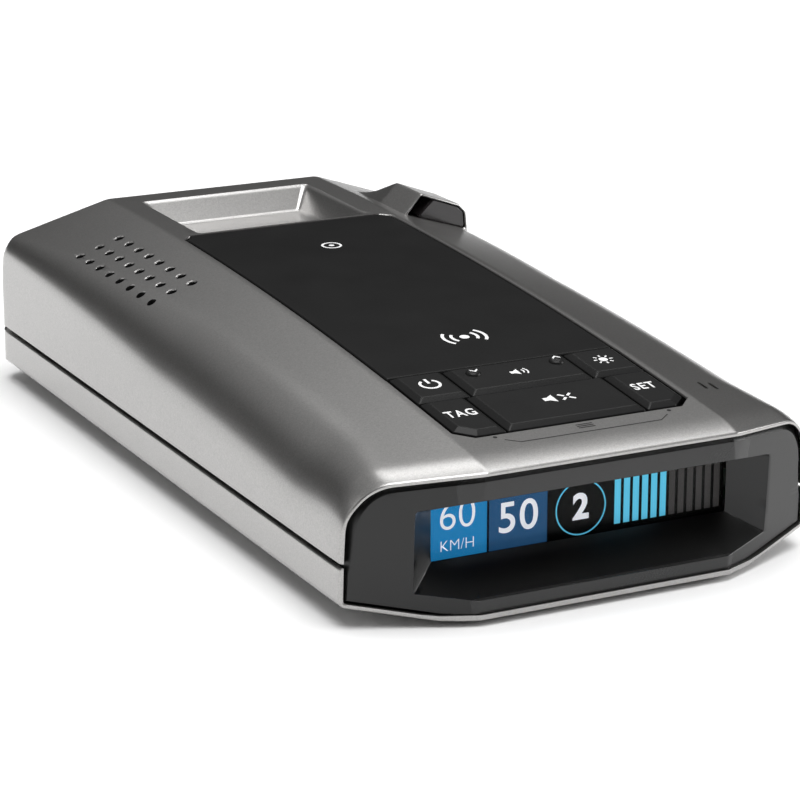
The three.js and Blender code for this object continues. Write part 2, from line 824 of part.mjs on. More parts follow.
function funnel() {
  const face = openingOutline().map(([x, z]) => [x, frontLimit(x, z) + faceSetback, z]);
  const front = face.map(([x, , z]) => [x, -overrun, z]);
  const knee = screenHalf * facetHalf / openingHalf;
  const back = [
    [-screenHalf, screenBottom], [-knee, screenBottom], [knee, screenBottom], [screenHalf, screenBottom],
    [screenHalf, screenTop], [knee, screenTop], [-knee, screenTop], [-screenHalf, screenTop],
  ].map(([x, z]) => [x, screenDepth, z]);
  return toSolid(loft([front, face, back]));
}

function displayBezel() {
  const outer = mouthBand(frontLip + shellGap, faceSetback + faceBevel, lipDepth - shellGap)
    .add(mouthBand(frontLip + shellGap + faceBevel, faceSetback, lipDepth - shellGap))
    .add(bodyLoft(wall + shellGap, -overrun, bezelFlangeDepth).intersect(behindFront(lipDepth - 1, wall)));
  const middle = block(-openingHalf, openingHalf, bezelBack, far, -far, far);
  const underWell = block(-panelHalf - 3, panelHalf + 3, wellFront - 1, far,
    screenTop + windowLip + clearance + 0.2, far);
  const pocket = block(-screenHalf - windowLip - clearance, screenHalf + windowLip + clearance,
    screenDepth, far, screenBottom - windowLip - clearance, screenTop + windowLip + clearance);
  return outer
    .subtract(funnel())
    .subtract(toSolid(middle))
    .subtract(toSolid(underWell))
    .subtract(toSolid(pocket));
}

addPart('display_bezel', displayBezel(), finishes.bezel);
addPart('display_window', block(-screenHalf - windowLip, screenHalf + windowLip,
  screenDepth + clearance, windowBack, screenBottom - windowLip, screenTop + windowLip), finishes.darkWindow);
addPart('display_module', block(-screenHalf - 1, screenHalf + 1, moduleFront, moduleBack,
  screenBottom - 1.2, screenTop + 0.6), finishes.screen);

// The display's flexible lead: out of the back of the module, down and onto the main board.
const flexThickness = 0.3;
const flexTop = screenBottom + 3;
const flexReach = boardFront + 3;
const displayFlex = [
  [moduleBack + clearance, flexTop], [flexReach, flexTop], [flexReach, boardTop + clearance],
  [flexReach + 2.5, boardTop + clearance], [flexReach + 2.5, boardTop + clearance + flexThickness],
  [flexReach + flexThickness, boardTop + clearance + flexThickness],
  [flexReach + flexThickness, flexTop + flexThickness], [moduleBack + clearance, flexTop + flexThickness],
];
addPart('display_cable', sideSlab(displayFlex, -7, 7), finishes.flex);

// ---------- keys ----------
// A key cap: straight skirt, bevelled rim and a stem, in the deck's frame.
function keyCap(outline, stems) {
  const share = 1 / outline.length;
  const centre = outline.reduce(([sx, sy], [x, y]) => [sx + x * share, sy + y * share], [0, 0]);
  const xs = outline.map(([x]) => x);
  const ys = outline.map(([, y]) => y);
  const shrinkX = 1 - (2 * keyBevel) / (Math.max(...xs) - Math.min(...xs));
  const shrinkY = 1 - (2 * keyBevel) / (Math.max(...ys) - Math.min(...ys));
  const ring = (z, scaleX, scaleY) => outline.map(([x, y]) => [
    centre[0] + (x - centre[0]) * scaleX, centre[1] + (y - centre[1]) * scaleY, z]);
  const rings = [
    ring(keyBottom, 1, 1), ring(keyProud - keyBevel, 1, 1), ring(keyProud, shrinkX, shrinkY),
  ];
  let solid = toSolid(loft(rings));
  stems.forEach(([x, y]) => {
    solid = solid.add(toSolid(post(stemRadius, x, y, stemEnd, keyBottom + 0.5, 16)));
  });
  return solid;
}

const deckFront = -wellHalfLength;
const deckRear = wellHalfLength;
const rowSplit = deckFront + frontRowDepth / Math.cos(keyTilt);
const frontRow = [deckFront + keyGap, rowSplit - keyGap / 2];
const rearRow = [rowSplit + keyGap / 2, deckRear - keyGap / 2];
const keyHalf = panelHalf - keyGap / 2;

function rectangle(x0, x1, [y0, y1]) {
  return [[x0, y1], [x0, y0], [x1, y0], [x1, y1]];
}

function cornerKey(side) {
  const inner = frontRowSplit + keyGap / 2;
  const chamfer = wellChamfer;
  const points = [
    [inner, frontRow[1]], [inner, frontRow[0]], [keyHalf - chamfer, frontRow[0]],
    [keyHalf, frontRow[0] + chamfer], [keyHalf, frontRow[1]],
  ];
  return side > 0 ? points : points.map(([x, y]) => [-x, y]).reverse();
}

function middleOf([y0, y1]) {
  return (y0 + y1) / 2;
}

const sideRearX = (keyHalf + rearRowSplit) / 2;
const sideFrontX = (keyHalf + frontRowSplit) / 2;
const rockerStemX = 6.8;
const keys = [
  ['power_key', rectangle(-keyHalf, -rearRowSplit - keyGap / 2, rearRow), [[-sideRearX, middleOf(rearRow)]]],
  ['volume_key', rectangle(-rearRowSplit + keyGap / 2, rearRowSplit - keyGap / 2, rearRow),
    [[-rockerStemX, middleOf(rearRow)], [rockerStemX, middleOf(rearRow)]]],
  ['brightness_key', rectangle(rearRowSplit + keyGap / 2, keyHalf, rearRow),
    [[sideRearX, middleOf(rearRow)]]],
  ['mark_key', cornerKey(-1), [[-sideFrontX, middleOf(frontRow)]]],
  ['mute_key', rectangle(-frontRowSplit + keyGap / 2, frontRowSplit - keyGap / 2, frontRow),
    [[0, middleOf(frontRow)]]],
  ['sensitivity_key', cornerKey(1), [[sideFrontX, middleOf(frontRow)]]],
];
keys.forEach(([name, outline, stems]) => addPart(name, keyCap(outline, stems), finishes.key, keyDeck));

const matHalf = keyHalf - 0.2;
let keyMat = toSolid(block(-matHalf, matHalf, keyBoardFront, deckRear - 0.6, matBottom, matTop));
keys.flatMap(([, , stems]) => stems).forEach(([x, y]) => {
  const dome = new THREE.CylinderGeometry(domeRadius * 0.7, domeRadius, domeHeight + 0.3, 16);
  keyMat = keyMat.add(toSolid(dome.rotateX(Math.PI / 2).translate(x, y, matTop + domeHeight / 2 - 0.15)));
});
addPart('key_mat', keyMat, finishes.rubber, keyDeck);

let keyBoard = toSolid(block(-matHalf, matHalf, keyBoardFront, deckRear - 0.6, keyBoardBottom, keyBoardTop))
  .add(toSolid(block(-earHalf, earHalf, -earHalfLength, earHalfLength, keyBoardBottom, keyBoardTop)));
[-1, 1].forEach((side) => {
  keyBoard = keyBoard.subtract(toSolid(post(pilotRadius, side * earScrewX, 0, -far, far, 16)));
});
addPart('key_board', keyBoard, finishes.board, keyDeck);

[['left', -1], ['right', 1]].forEach(([name, side]) => {
  const seat = keyBoardBottom - clearance;
  const head = post(earHeadRadius, side * earScrewX, 0, seat - earHeadHeight, seat, 16);
  const shank = post(earShankRadius, side * earScrewX, 0, seat - 0.5, keyBoardBottom + earShankReach, 12);
  addPart(`key_board_screw_${name}`, union(head, shank), finishes.metal, keyDeck);
});

// ---------- main board and what stands on it ----------
const boardRear = bodyLength - boardRearSetback;
let mainBoard = toSolid(block(-boardHalf, boardHalf, boardFront, boardRear, boardUnderside, boardTop));
postPlaces.forEach(([, x, y]) => {
  mainBoard = mainBoard.subtract(toSolid(post(pilotRadius + 0.2, x, y, 0, bodyHeight)));
});
addPart('main_board', mainBoard, finishes.board);

const onBoard = boardTop + clearance;
const hornMouthY = bodyLength - hornSetback;
const hornThroatY = hornMouthY - hornLength;
const shieldRear = hornThroatY - hornBlockLength - shieldHornGap;
const shieldTop = onBoard + shieldHeight;
addPart('shield_can', block(shieldLeft, shieldRight, shieldFront, shieldRear, onBoard, shieldTop),
  finishes.metal);
addPart('processor', block(-processorHalf, processorHalf, processorCentreY - processorHalf,
  processorCentreY + processorHalf, onBoard, onBoard + processorHeight), finishes.darkWindow);

// The microwave horn: a cast block that flares towards the road, open at its mouth.
const hornMiddle = onBoard + hornMouthHeight / 2 + 0.2;

function hornRing(y, half, height) {
  const x = hornCentreX;
  return [
    [x - half, y, hornMiddle - height / 2], [x + half, y, hornMiddle - height / 2],
    [x + half, y, hornMiddle + height / 2], [x - half, y, hornMiddle + height / 2],
  ];
}

function hornAntenna() {
  const flare = toSolid(loft([
    hornRing(hornThroatY - hornBlockLength, hornThroatHalf + 2, hornThroatHeight + 2),
    hornRing(hornThroatY, hornThroatHalf + 2, hornThroatHeight + 2),
    hornRing(hornMouthY, hornMouthHalf, hornMouthHeight),
  ]));
  const throatHalf = hornThroatHalf + 2 - hornWall;
  const bore = toSolid(loft([
    hornRing(hornThroatY - hornBlockLength + 3, throatHalf, hornThroatHeight + 2 - 2 * hornWall),
    hornRing(hornThroatY, throatHalf, hornThroatHeight + 2 - 2 * hornWall),
    hornRing(hornMouthY + 0.5, hornMouthHalf - hornWall, hornMouthHeight - 2 * hornWall),
  ]));
  return flare.subtract(bore);
}

addPart('horn_antenna', hornAntenna(), finishes.metal);

// The road laser receiver stands between the horn's mouth and the right rear post.
const receiverX = (hornCentreX + hornMouthHalf + postX - postRadius) / 2;
const receiverHalf = receiverWidth / 2;
const receiverRear = bodyLength - receiverSetback;
addPart('laser_receiver', union(
  block(receiverX - receiverHalf, receiverX + receiverHalf, receiverRear - receiverLength, receiverRear,
    onBoard, onBoard + receiverHeight),
  block(receiverX - receiverHalf + 1.5, receiverX + receiverHalf - 1.5, receiverRear - 1,
    receiverRear + receiverNose, onBoard + 1.6, onBoard + receiverHeight - 1.4)),
finishes.darkWindow);
addPart('road_window', block(-roadWindowHalf, roadWindowHalf, bodyLength - roadWindowThickness, bodyLength,
  roadWindowBottom, roadWindowTop), finishes.darkWindow);

addPart('rear_laser_window', laserWindow, finishes.darkWindow);
const sensorX = (hoodLeft + hoodRight) / 2 + 0.6;
const sensorHalf = laserSensorSize / 2;
const sensorY = windowFront + laserWindowDepth + clearance;
const sensorRear = sensorY + laserSensorLength;
const sensorBottom = shoulder(sensorX - sensorHalf, sensorY) + clearance;
const sensorBoardTop = shoulder(sensorX + sensorHalf, sensorY) + laserSensorRise;
addPart('rear_laser_sensor', block(sensorX - sensorHalf, sensorX + sensorHalf, sensorY, sensorRear,
  sensorBottom, sensorBoardTop), finishes.board);

// GPS patch antenna, under the plain rear half of the black panel.
const gpsCentreY = panelRear - gpsPanelSetback;
const gpsTop = crown(gpsCentreY - gpsHalf) - panelPocketDepth - wall - clearance;
const gpsUnder = gpsTop - gpsThickness;
addPart('gps_antenna', union(
  block(-gpsHalf, gpsHalf, gpsCentreY - gpsHalf, gpsCentreY + gpsHalf, gpsUnder, gpsTop),
  block(-gpsHalf - 1, gpsHalf + 1, gpsCentreY - gpsHalf - 1, gpsCentreY + gpsHalf + 1,
    gpsUnder - gpsBoardThickness, gpsUnder + 0.2)),
finishes.ceramic);

// Two magnets under the floor of the mount recess.
const magnetTop = recessFloor - wall - clearance;
[['left', -1], ['right', 1]].forEach(([name, side]) => {
  addPart(`mount_magnet_${name}`,
    post(magnetRadius, side * (magnetRadius + 1.5), recessMiddle, magnetTop - magnetThickness, magnetTop, 24),
    finishes.steel);
});

// Speaker and its dust cloth, hung under the hole field.
const speakerTop = -wall - speakerDrop;
addPart('speaker_mesh', block(-speakerWidth / 2, speakerWidth / 2, -speakerLength / 2, speakerLength / 2,
  speakerTop, speakerTop + meshThickness), finishes.cloth, speakerDeck);
addPart('speaker', union(
  block(-speakerWidth / 2, speakerWidth / 2, -speakerLength / 2, speakerLength / 2,
    speakerTop - clearance - speakerDepth, speakerTop - clearance),
  block(-speakerWidth / 2 + 1.5, speakerWidth / 2 - 1.5, -7, 7,
    speakerTop - clearance - speakerDepth - 1.6, speakerTop - clearance - 1)),
finishes.steel, speakerDeck);

const sensorTop = shoulder(slitCentreX + 2, slitCentreY - 2) - wall - 0.5;
addPart('light_sensor', block(slitCentreX - 2, slitCentreX + 2, slitCentreY - 2, slitCentreY + 2,
  sensorTop - 1.2, sensorTop), finishes.darkWindow);

// ---------- sockets ----------
const powerBack = socketFace - powerSocketLength;
const powerPlugTop = powerCentre + powerPlugHeight / 2;
addPart('power_socket', toSolid(block(powerBack, socketFace, powerSocketY - powerSocketWidth / 2,
  powerSocketY + powerSocketWidth / 2, socketFloor, socketFloor + powerSocketHeight))
  .subtract(toSolid(block(powerBack + 2, far, powerSocketY - powerPlugWidth / 2,
    powerSocketY + powerPlugWidth / 2, powerCentre - powerPlugHeight / 2, powerPlugTop))),
finishes.panel);

const phoneBack = socketFace - phoneBodyLength;
addPart('earphone_socket', union(
  block(phoneBack, socketFace, phoneSocketY - phoneBodySize / 2, phoneSocketY + phoneBodySize / 2,
    socketFloor, socketFloor + phoneBodySize),
  barrel(phoneBoreRadius + 0.9, socketFace - 1, socketFace + 1.2, phoneSocketY, phoneCentre, 24))
  .subtract(toSolid(barrel(phoneBoreRadius, phoneBack + 1.5, far, phoneSocketY, phoneCentre, 24))),
finishes.panel);

const usbBack = socketFace - usbLength;
const usbHalfWidth = usbWidth / 2;
const usbHalfHeight = usbHeight / 2;
addPart('usb_socket', toSolid(block(usbBack, socketFace + 1,
  usbSocketY - usbHalfWidth - usbShell, usbSocketY + usbHalfWidth + usbShell,
  usbCentre - usbHalfHeight - usbShell, usbCentre + usbHalfHeight + usbShell))
  .subtract(toSolid(block(usbBack + 1, far, usbSocketY - usbHalfWidth, usbSocketY + usbHalfWidth,
    usbCentre - usbHalfHeight, usbCentre + usbHalfHeight))),
finishes.metal);

// ---------- fasteners and label ----------
postPlaces.forEach(([name, x, y]) => {
  addPart(`case_screw_${name}`, union(
    post(screwHeadRadius, x, y, screwHeadBottom, screwHeadTop, 24),
    post(screwRadius, x, y, screwHeadTop - 0.5, boardTop + screwLength - 2, 12)), finishes.steel);
});
addPart('rating_label', block(-labelHalf, labelHalf, labelCentreY - labelLength / 2,
  labelCentreY + labelLength / 2, 0, labelThickness), finishes.label);

export default detector;
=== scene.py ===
import math

import bmesh
import bpy
import numpy as np
from mathutils import Matrix, Vector


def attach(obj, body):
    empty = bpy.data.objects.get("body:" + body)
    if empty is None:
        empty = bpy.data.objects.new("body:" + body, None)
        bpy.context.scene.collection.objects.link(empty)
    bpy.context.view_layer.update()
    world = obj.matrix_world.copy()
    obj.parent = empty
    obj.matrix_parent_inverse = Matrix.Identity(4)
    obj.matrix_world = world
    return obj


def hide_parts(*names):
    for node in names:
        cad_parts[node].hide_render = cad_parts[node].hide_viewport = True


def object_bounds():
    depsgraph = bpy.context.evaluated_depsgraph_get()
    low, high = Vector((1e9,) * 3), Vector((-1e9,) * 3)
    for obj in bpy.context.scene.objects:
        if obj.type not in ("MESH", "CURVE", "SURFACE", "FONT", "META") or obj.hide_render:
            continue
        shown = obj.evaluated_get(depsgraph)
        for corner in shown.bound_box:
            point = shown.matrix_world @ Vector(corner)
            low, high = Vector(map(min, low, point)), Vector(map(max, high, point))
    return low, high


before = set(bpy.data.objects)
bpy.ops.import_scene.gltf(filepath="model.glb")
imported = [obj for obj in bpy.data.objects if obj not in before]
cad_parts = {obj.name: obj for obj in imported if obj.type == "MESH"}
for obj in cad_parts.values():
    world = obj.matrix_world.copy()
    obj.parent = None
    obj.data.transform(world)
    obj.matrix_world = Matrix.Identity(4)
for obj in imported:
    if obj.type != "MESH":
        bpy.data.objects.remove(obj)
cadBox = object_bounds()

# Shapes are worked out in millimetres, with y counted from the driver's end of the body.
mm = 0.001
length = (cadBox[1].y - cadBox[0].y) / mm
width = (cadBox[1].x - cadBox[0].x) / mm


# ---- the body's surface ----
bodyLaw = {
    "half": width / 2, "height": 31.0, "frontHeight": 22.9, "peakSetback": 18.7,
    "plateauHalf": 19.6, "parting": 9.24, "partingGroove": 0.6, "partingRound": 0.3,
    "sillHeight": 3.2, "sillRadius": 1.3, "flatHalf": 20.0, "creaseRadius": 4.0,
    "slopes": (0.16, 0.365), "drafts": (1.0, 2.0), "cornerRadii": (6.5, 12.0, 4.5),
    "facetHalf": 19.86, "facetSweep": 23.7, "lean": 3.35, "knee": 21.0, "slant": 0.74,
    "chin": 1.05, "chinRun": 4.5, "wall": 1.5, "lip": 0.7, "lipDepth": 4.0,
    "frontRound": 0.4, "frontRoll": 0.62, "frontRollRun": 5.2, "rearRound": 0.8, "rearPlanRadius": 4.5,
}


def crown(y):
    peak = length - bodyLaw["peakSetback"]
    fall = (bodyLaw["height"] - bodyLaw["frontHeight"]) / peak ** 2
    return bodyLaw["height"] - fall * (peak - y) ** 2


def between(y, ends):
    return ends[0] + (ends[1] - ends[0]) * y / length


def shoulder(x, y):
    return crown(y) - max(0.0, abs(x) - bodyLaw["plateauHalf"]) * between(y, bodyLaw["slopes"])


def softRamp(value, soft):
    return 0.5 * (value + np.sqrt(value * value + soft * soft))


def frontLimit(x, z):
    sweep = math.tan(math.radians(bodyLaw["facetSweep"]))
    lean = math.tan(math.radians(bodyLaw["lean"]))
    return softRamp(np.abs(x) - bodyLaw["facetHalf"], 0.25) * sweep + (bodyLaw["frontHeight"] - z) * lean


def rearLimit(x, z):
    return length - bodyLaw["slant"] * softRamp(z - bodyLaw["knee"], 1.2) + 0 * x


def arc(before, corner, after, radius, steps):
    toBefore = before - corner
    toAfter = after - corner
    lengthBefore = np.linalg.norm(toBefore, axis=1, keepdims=True)
    lengthAfter = np.linalg.norm(toAfter, axis=1, keepdims=True)
    toBefore = toBefore / lengthBefore
    toAfter = toAfter / lengthAfter
    half = np.arccos(np.clip(np.sum(toBefore * toAfter, axis=1, keepdims=True), -1, 1)) / 2
    tangent = np.minimum(radius / np.tan(half), 0.96 * np.minimum(lengthBefore, lengthAfter))
    bisector = toBefore + toAfter
    bisector = bisector / np.linalg.norm(bisector, axis=1, keepdims=True)
    centre = corner + bisector * tangent / np.cos(half)
    start = corner + toBefore * tangent - centre
    end = corner + toAfter * tangent - centre
    turn = np.arctan2(start[:, 0] * end[:, 1] - start[:, 1] * end[:, 0], np.sum(start * end, axis=1))
    angle = turn[:, None] * np.linspace(0, 1, steps + 1)[None, :]
    x = centre[:, :1] + start[:, :1] * np.cos(angle) - start[:, 1:] * np.sin(angle)
    z = centre[:, 1:] + start[:, :1] * np.sin(angle) + start[:, 1:] * np.cos(angle)
    return np.stack([x, z], axis=2)


def run(start, end, shares):
    shares = np.asarray(shares)[None, :, None]
    return start[:, None, :] * (1 - shares) + end[:, None, :] * shares


def pointRow(y, x, z):
    return np.stack([np.zeros_like(y) + x, np.zeros_like(y) + z], axis=1)


# One half of the section from the middle of the underside to the middle of the top, for each y.
def halfSection(y):
    law = bodyLaw
    top = crown(y)
    slope = between(y, law["slopes"])
    lean = np.tan(np.radians(between(y, law["drafts"])))
    early, waist, late = law["cornerRadii"]
    waistStart, waistEnd, edge = 0.15 * length, 0.5 * length, length - 5
    radius = np.interp(y, [0, waistStart, waistEnd, edge], [early, waist, waist, late])[:, None]
    cornerX = (law["half"] - lean * (top + slope * law["plateauHalf"] - law["parting"])) / (1 - lean * slope)
    corner = pointRow(y, cornerX, top - slope * (cornerX - law["plateauHalf"]))
    middleLow = pointRow(y, 0, 0)
    flatEnd = pointRow(y, law["flatHalf"], 0)
    sill = pointRow(y, law["half"], law["sillHeight"])
    parting = pointRow(y, law["half"], law["parting"])
    plateau = pointRow(y, law["plateauHalf"], top)
    middleTop = pointRow(y, 0, top)
    flatArc = arc(middleLow, flatEnd, sill, 3.0, 4)
    sillArc = arc(flatEnd, sill, parting, law["sillRadius"], 6)
    cornerArc = arc(parting, corner, plateau, radius, 20)
    plateauArc = arc(corner, plateau, middleTop, law["creaseRadius"], 6)
    groove = law["partingGroove"] / 2
    rows = np.array([groove + law["partingRound"] * k for k in (2.2, 1, 0.6, 0.25, 0)])
    lowRun = law["parting"] - sillArc[:, -1, 1].mean()
    lowShares = 1 - np.append(rows, 0) / lowRun
    riseRun = (cornerArc[:, 0, 1] - law["parting"]).mean()
    highShares = np.append(rows[::-1] / riseRun, np.linspace(0.25, 0.85, 4))
    parts = [
        run(middleLow, flatArc[:, 0], np.linspace(0, 1, 8)[:-1]), flatArc,
        run(flatArc[:, -1], sillArc[:, 0], np.linspace(0, 1, 8)[1:-1]), sillArc,
        run(sillArc[:, -1], parting, lowShares), run(parting, cornerArc[:, 0], highShares), cornerArc,
        run(cornerArc[:, -1], plateauArc[:, 0], np.linspace(0, 1, 9)[1:-1]), plateauArc,
        run(plateauArc[:, -1], middleTop, np.linspace(0, 1, 9)[1:]),
    ]
    return np.concatenate(parts, axis=1)


def wholeSection(y):
    right = halfSection(y)
    left = right[:, 1:-1][:, ::-1] * np.array([-1, 1])
    return np.concatenate([right, left], axis=1)


pointCount = wholeSection(np.zeros(1)).shape[1]


# A ring of the body at a station: ahead of it by a from the front, or b of the way to the rear.
def bodyRing(a, b, inset, outer=True, setback=None):
    y = np.full(pointCount, max(a, 0.0) if b == 0 else length * b)
    picks = np.arange(pointCount)
    for _ in range(4):
        rows = wholeSection(y)
        x, z = rows[picks, picks, 0], rows[picks, picks, 1]
        y = a + (1 - b) * frontLimit(x, z) + b * rearLimit(x, z)
    along = rows[picks, (picks + 1) % pointCount] - rows[picks, picks - 1]
    along /= np.linalg.norm(along, axis=1, keepdims=True)
    normal = np.stack([along[:, 1], -along[:, 0]], axis=1)
    depth = np.zeros(pointCount) + inset
    if outer:
        if b == 0:
            depth += edgeRound(np.full(pointCount, a), np.full(pointCount, bodyLaw["frontRound"]))
            roll = bodyLaw["frontRoll"] * max(0.0, 1 - a / bodyLaw["frontRollRun"]) ** 2
            depth += roll * np.clip(normal[:, 1] * 1.6 + 0.1, 0.12, 1)
        if b == 1:
            depth += edgeRound(np.full(pointCount, -a), np.full(pointCount, bodyLaw["rearRound"]))
        off = np.abs(z - bodyLaw["parting"]) - bodyLaw["partingGroove"] / 2
        partingEdge = edgeRound(np.maximum(off, 0), bodyLaw["partingRound"])
        depth += np.where(np.abs(normal[:, 0]) > 0.9, partingEdge, 0)
    x = x - normal[:, 0] * depth
    z = z - normal[:, 1] * depth
    if outer and b == 1:
        turn = edgeRound(np.full(pointCount, -a), np.full(pointCount, bodyLaw["rearPlanRadius"]))
        x = np.clip(x, turn - bodyLaw["half"], bodyLaw["half"] - turn)
    if b == 0:
        chin = np.interp(a, [0, bodyLaw["chinRun"] / 3, bodyLaw["chinRun"]],
                         [bodyLaw["chin"], 0.38 * bodyLaw["chin"], 0])
        z = np.maximum(z, chin + inset)
    if setback is not None:
        y = frontLimit(x, z) + setback
    return np.stack([x, y, z], axis=1)


def edgeRound(distance, radius):
    near = np.clip(radius - distance, 0, radius)
    return radius - np.sqrt(np.maximum(radius * radius - near * near, 0))


# ---- mesh making ----
def makeObject(name, points, faces):
    mesh = bpy.data.meshes.new(name)
    scaled = [(x * mm, (y - length / 2) * mm, z * mm) for x, y, z in points]
    mesh.from_pydata(scaled, [], faces)
    mesh.validate()
    obj = bpy.data.objects.new(name, mesh)
    bpy.context.scene.collection.objects.link(obj)
    return obj


# A closed skin over rings of equal counts; joined end to start, or closed by a fan at each end.
def ringFaces(ringCount, count, loop):
    faces = []
    for ring in range(ringCount if loop else ringCount - 1):
        following = (ring + 1) % ringCount
        for point in range(count):
            after = (point + 1) % count
            faces.append((ring * count + point, ring * count + after,
                          following * count + after, following * count + point))
    return faces


def loft(name, rings, loop=False):
    rings = [np.asarray(ring, float) for ring in rings]
    count = len(rings[0])
    points = np.concatenate(rings)
    faces = ringFaces(len(rings), count, loop)
    if not loop:
        faces.append(tuple(range(count))[::-1])
        faces.append(tuple((len(rings) - 1) * count + k for k in range(count)))
    return faceOut(makeObject(name, points, faces))


def faceOut(obj):
    mesh = obj.data
    mesh.calc_loop_triangles()
    points = np.array([v.co for v in mesh.vertices])
    corners = np.array([t.vertices[:] for t in mesh.loop_triangles])
    a, b, c = points[corners[:, 0]], points[corners[:, 1]], points[corners[:, 2]]
    if np.sum(a * np.cross(b, c)) < 0:
        mesh.flip_normals()
    return obj


# Cuts or joins and keeps the result; the other mesh is used up.
def carve(target, other, operation="DIFFERENCE"):
    modifier = target.modifiers.new("carve", "BOOLEAN")
    modifier.operation = operation
    modifier.solver = "MANIFOLD"
    modifier.object = other
    graph = bpy.context.evaluated_depsgraph_get()
    result = bpy.data.meshes.new_from_object(target.evaluated_get(graph))
    target.modifiers.clear()
    old = target.data
    target.data = result
    bpy.data.meshes.remove(old)
    bpy.data.objects.remove(other)
    return target


# Split along its length and down its middle, so that a face cut with it stays in small simple pieces.
def box(x0, x1, y0, y1, z0, z1, steps=1):
    middle = (x0 + x1) / 2
    ring = [(x0, z0), (middle, z0), (x1, z0), (x1, z1), (middle, z1), (x0, z1)]
    return loft("box", [[(x, y, z) for x, z in ring] for y in np.linspace(y0, y1, steps + 1)])


def tube(radii, heights, centre, sides=32):
    rings = []
    for radius, height in zip(radii, heights):
        angles = np.linspace(0, 2 * math.pi, sides, endpoint=False)
        rings.append([(centre[0] + radius * math.cos(t), centre[1] + radius * math.sin(t), height)
                      for t in angles])
    return loft("tube", rings)


def smooth(obj, angle=32, weighted=True):
    for polygon in obj.data.polygons:
        polygon.use_smooth = True
    obj.data.set_sharp_from_angle(angle=math.radians(angle))
    if weighted:
        modifier = obj.modifiers.new("evenNormals", "WEIGHTED_NORMAL")
        modifier.keep_sharp = True
        modifier.weight = 60
    return obj


def place(obj, name, body, finish, slot, *nodes):
    obj.name = name
    obj.data.name = name
    obj.data.materials.clear()
    obj.data.materials.append(finish)
    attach(obj, body)
    if nodes:
        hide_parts(*nodes)
    return obj


# ---- shader maths ----
class Value:
    def __init__(self, tree, socket):
        self.tree = tree
        self.socket = socket

    def maths(self, operation, first, second):
        node = self.tree.nodes.new("ShaderNodeMath")
        node.operation = operation
        for socket, item in zip(node.inputs, (first, second)):
            if isinstance(item, Value):
                self.tree.links.new(item.socket, socket)
            else:
                socket.default_value = item
        return Value(self.tree, node.outputs[0])

    def __add__(self, other):
        return self.maths("ADD", self, other)

    def __radd__(self, other):
        return self.maths("ADD", other, self)

    def __sub__(self, other):
        return self.maths("SUBTRACT", self, other)

    def __rsub__(self, other):
        return self.maths("SUBTRACT", other, self)

    def __mul__(self, other):
        return self.maths("MULTIPLY", self, other)

    def __gt__(self, other):
        return self.maths("GREATER_THAN", self, other)


class Finish:
    def __init__(self, name, **constants):
        self.material = bpy.data.materials.new(name)
        self.material.use_nodes = True
        self.tree = self.material.node_tree
        self.shader = self.tree.nodes["Principled BSDF"]
        self.place = self.node("ShaderNodeTexCoord", output="Object")
        for socket, value in constants.items():
            self.put(socket.replace("_", " "), value)

    def put(self, socket, value):
        target = self.shader.inputs[socket]
        if isinstance(value, Value):
            self.tree.links.new(value.socket, target)
        else:
            target.default_value = value

    def node(self, kind, settings=None, inputs=None, output=0):
        node = self.tree.nodes.new(kind)
        for key, value in (settings or {}).items():
            if key == "stops":
                self.setStops(node.color_ramp, value)
            else:
                setattr(node, key, value)
        for key, value in (inputs or {}).items():
            if isinstance(value, Value):
                self.tree.links.new(value.socket, node.inputs[key])
            else:
                node.inputs[key].default_value = value
        return Value(self.tree, node.outputs[output])

    def setStops(self, ramp, stops):
        while len(ramp.elements) < len(stops):
            ramp.elements.new(0.5)
        for element, (position, level) in zip(ramp.elements, stops):
            element.position = position
            element.color = (level, level, level, 1)

    def noise(self, scale, detail=2.0, stretch=None):
        spot = self.place
        if stretch:
            spot = self.node("ShaderNodeMapping", inputs={"Vector": spot, "Scale": stretch})
        return self.node("ShaderNodeTexNoise", inputs={"Vector": spot, "Scale": scale, "Detail": detail},
                         output="Fac")

    def blend(self, share, dark, light):
        return self.node("ShaderNodeMix", {"data_type": "RGBA"}, {0: share, 6: dark, 7: light}, output=2)

    def bump(self, height, distance, strength=1.0):
        normal = self.node("ShaderNodeBump", inputs={
            "Height": height, "Distance": distance, "Strength": strength})
        self.put("Normal", normal)


def grey(level, tint=(1, 1, 1)):
    return (level * tint[0], level * tint[1], level * tint[2], 1)


paint = {
    "dark": grey(0.27, (1, 0.985, 0.97)), "light": grey(0.52, (1, 0.985, 0.965)), "metallic": 0.92,
    "rough": 0.29, "roughSpread": 0.03, "flake": 5200.0, "cloud": 90.0, "grain": 0.000008,
}


def paintFinish():
    finish = Finish("silverPaint", Metallic=paint["metallic"], Coat_Weight=0.3, Coat_Roughness=0.16)
    flake = finish.noise(paint["flake"], 1.0)
    coarse = finish.noise(paint["flake"] * 0.45, 2.0)
    cloud = finish.noise(paint["cloud"], 2.0)
    share = flake * 0.8 + coarse * 0.4 + cloud * 0.1 - 0.15
    finish.put("Base Color", finish.blend(share, paint["dark"], paint["light"]))
    finish.put("Roughness", paint["rough"] + (coarse - 0.5) * paint["roughSpread"])
    finish.bump(flake + coarse, paint["grain"], 0.25)
    return finish.material


